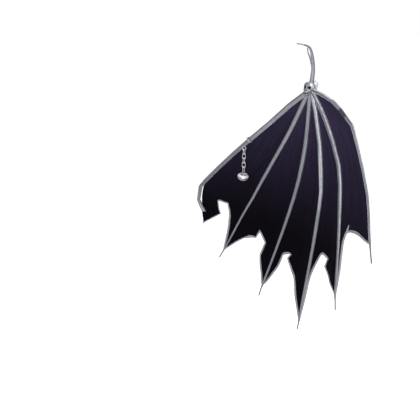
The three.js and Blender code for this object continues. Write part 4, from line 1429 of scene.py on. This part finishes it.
class DEVILWING_OT_chain(bpy.types.Operator):
    """Make the arm's collar and eye and the five links of the chain"""

    bl_idname = "devil_wing.make_chain"
    bl_label = "Make chain"

    def execute(self, context):
        silver = shared_material("silver_plate", polished_silver, context.scene.devil_trim)
        collar = self.collar_shape()
        collar = make_piece("arm_collar_silver", *collar, evenly_shaded_and_tarnished(collar, SHADE_AND_TARNISH["collar"]))
        dress(collar, silver, "polished_silver", "wing", "arm_collar")
        eye = make_piece("arm_eye_silver", *merge(self.eye_parts()))
        dress(eye, silver, "polished_silver", "wing", "arm_bone")
        x, y, _ = EYE_RING["centre"]
        for number in range(LINK["count"]):
            height = LINK["first"] - LINK["pitch"] * number
            facing = (1, 0, 0) if number % 2 == 0 else (0, 1, 0)
            across = (LINK["width"] - LINK["wire"]) / 2
            straight = LINK["length"] - LINK["width"]
            shape = ring_shape((x, y, height), across, LINK["wire"], facing, straight)
            node = f"chain_link_{number + 1}"
            # Painted shade on each link's straight sides, fading to a painted highlight at its bends.
            bend = np.abs(shape[0][:, 2] - height) / (LINK["length"] / 2)
            tarnish = LINK["tarnish"] * (1 - smoothstep(*LINK_HIGHLIGHT, bend))
            link = make_piece(node + "_silver", *shape, {"tarnish": tarnish})
            dress(link, silver, "polished_silver", "wing", node)
        return {"FINISHED"}

    def eye_parts(self):
        centre = np.array(EYE_RING["centre"])
        ring = ring_shape(centre, EYE_RING["radius"], EYE_RING["wire"])
        top = centre + np.array([0, EYE_RING["solder_back"], EYE_RING["radius"]])
        solder = ball_shape(top, np.array(SOLDER_SHAPE) * EYE_RING["solder"])
        return [
            (*ring, evenly_shaded_and_tarnished(ring, SHADE_AND_TARNISH["eye"])),
            (*solder[:2], evenly_shaded_and_tarnished(solder, SHADE_AND_TARNISH["solder"])),
        ]

    def collar_shape(self):
        line = BONE_LINES["arm"]
        nearest = np.argmin(np.hypot(line[:, 0] - COLLAR["at"][0], line[:, 2] - COLLAR["at"][1]))
        middle = line[nearest, :3]
        along = unit(line[nearest + 1, :3] - line[nearest - 1, :3])
        front = surface_front(middle[:1], middle[2:])[0]
        across = unit(np.cross(along, front))
        face = np.cross(across, along)
        half = COLLAR["length"] / 2
        wall = COLLAR["outer"] - COLLAR["inner"]
        turn = circle(COLLAR_SIDES)
        lips = COLLAR["lip"] * np.cos(turn) ** COLLAR_LIP_POWER
        bulge = (wall / 2 + lips) * np.clip(COLLAR_SQUARE * np.sin(turn), -1, 1)
        section = np.column_stack([COLLAR["inner"] + wall / 2 + bulge, half * np.cos(turn)])
        steps = circle(TURNED_STEPS)
        spokes = np.cos(steps)[:, None] * across + np.sin(steps)[:, None] * face
        rings = middle + spokes[:, None] * section[None, :, :1] + along * section[None, :, 1:]
        return skin(rings, closed=True)


class DEVILWING_OT_charm(bpy.types.Operator):
    """Make the dished charm with its stem and bail"""

    bl_idname = "devil_wing.make_charm"
    bl_label = "Make charm"

    def execute(self, context):
        silver = shared_material("silver_plate", polished_silver, context.scene.devil_trim)
        x, y, _ = EYE_RING["centre"]
        bead, faces, traits = lathe_shape(CHARM_PROFILE)
        stem_top = np.array((0, 0, STEM_TOP))
        lean = np.array(Matrix.Rotation(math.radians(CHARM_LEAN), 3, "Y"))
        bead = (bead - stem_top) @ lean.T + stem_top
        bail = ring_shape((x, y, BAIL["height"]), BAIL["radius"], BAIL["wire"])
        placed = bead + np.array((x, y, CHARM_HEIGHT))
        parts = [(placed, faces, traits), (*bail, evenly_shaded_and_tarnished(bail, SHADE_AND_TARNISH["bail"]))]
        charm = make_piece("charm_silver", *merge(parts))
        dress(charm, silver, "polished_silver", "charm", "charm")
        return {"FINISHED"}


class DEVILWING_PT_panel(bpy.types.Panel):
    """Lists what makes the wing"""

    bl_idname = "DEVILWING_PT_panel"
    bl_label = "Devil Wing"
    bl_space_type = "VIEW_3D"
    bl_region_type = "UI"
    bl_category = "Devil Wing"

    def draw(self, context):
        for name, _ in SETTINGS:
            settings = getattr(context.scene, name)
            box = self.layout.box()
            for key in settings.__annotations__:
                box.prop(settings, key)
        for operator in OPERATORS:
            self.layout.operator(operator.bl_idname)


SETTINGS = [
    ("devil_bones", BoneSettings),
    ("devil_cloth", ClothSettings),
    ("devil_trim", TrimSettings),
    ("devil_stage", StageSettings),
]
OPERATORS = [
    DEVILWING_OT_stage,
    DEVILWING_OT_bones,
    DEVILWING_OT_palm,
    DEVILWING_OT_skulls,
    DEVILWING_OT_claws,
    DEVILWING_OT_hems,
    DEVILWING_OT_cloth,
    DEVILWING_OT_chain,
    DEVILWING_OT_charm,
]


def register():
    """Adds the settings, operators and panel."""
    for name, group in SETTINGS:
        bpy.utils.register_class(group)
        setattr(bpy.types.Scene, name, bpy.props.PointerProperty(type=group))
    for operator in OPERATORS:
        bpy.utils.register_class(operator)
    bpy.utils.register_class(DEVILWING_PT_panel)


def unregister():
    """Takes the panel, operators and settings away."""
    bpy.utils.unregister_class(DEVILWING_PT_panel)
    for operator in reversed(OPERATORS):
        bpy.utils.unregister_class(operator)
    for name, group in reversed(SETTINGS):
        delattr(bpy.types.Scene, name)
        bpy.utils.unregister_class(group)


def main():
    """Makes the wing and its stage."""
    register()
    bpy.ops.devil_wing.make_stage()
    bpy.ops.devil_wing.make_bones()
    bpy.ops.devil_wing.make_palm()
    bpy.ops.devil_wing.make_skulls()
    bpy.ops.devil_wing.make_claws()
    bpy.ops.devil_wing.make_hems()
    bpy.ops.devil_wing.make_cloth()
    bpy.ops.devil_wing.make_chain()
    bpy.ops.devil_wing.make_charm()


if __name__ == "__main__":
    main()
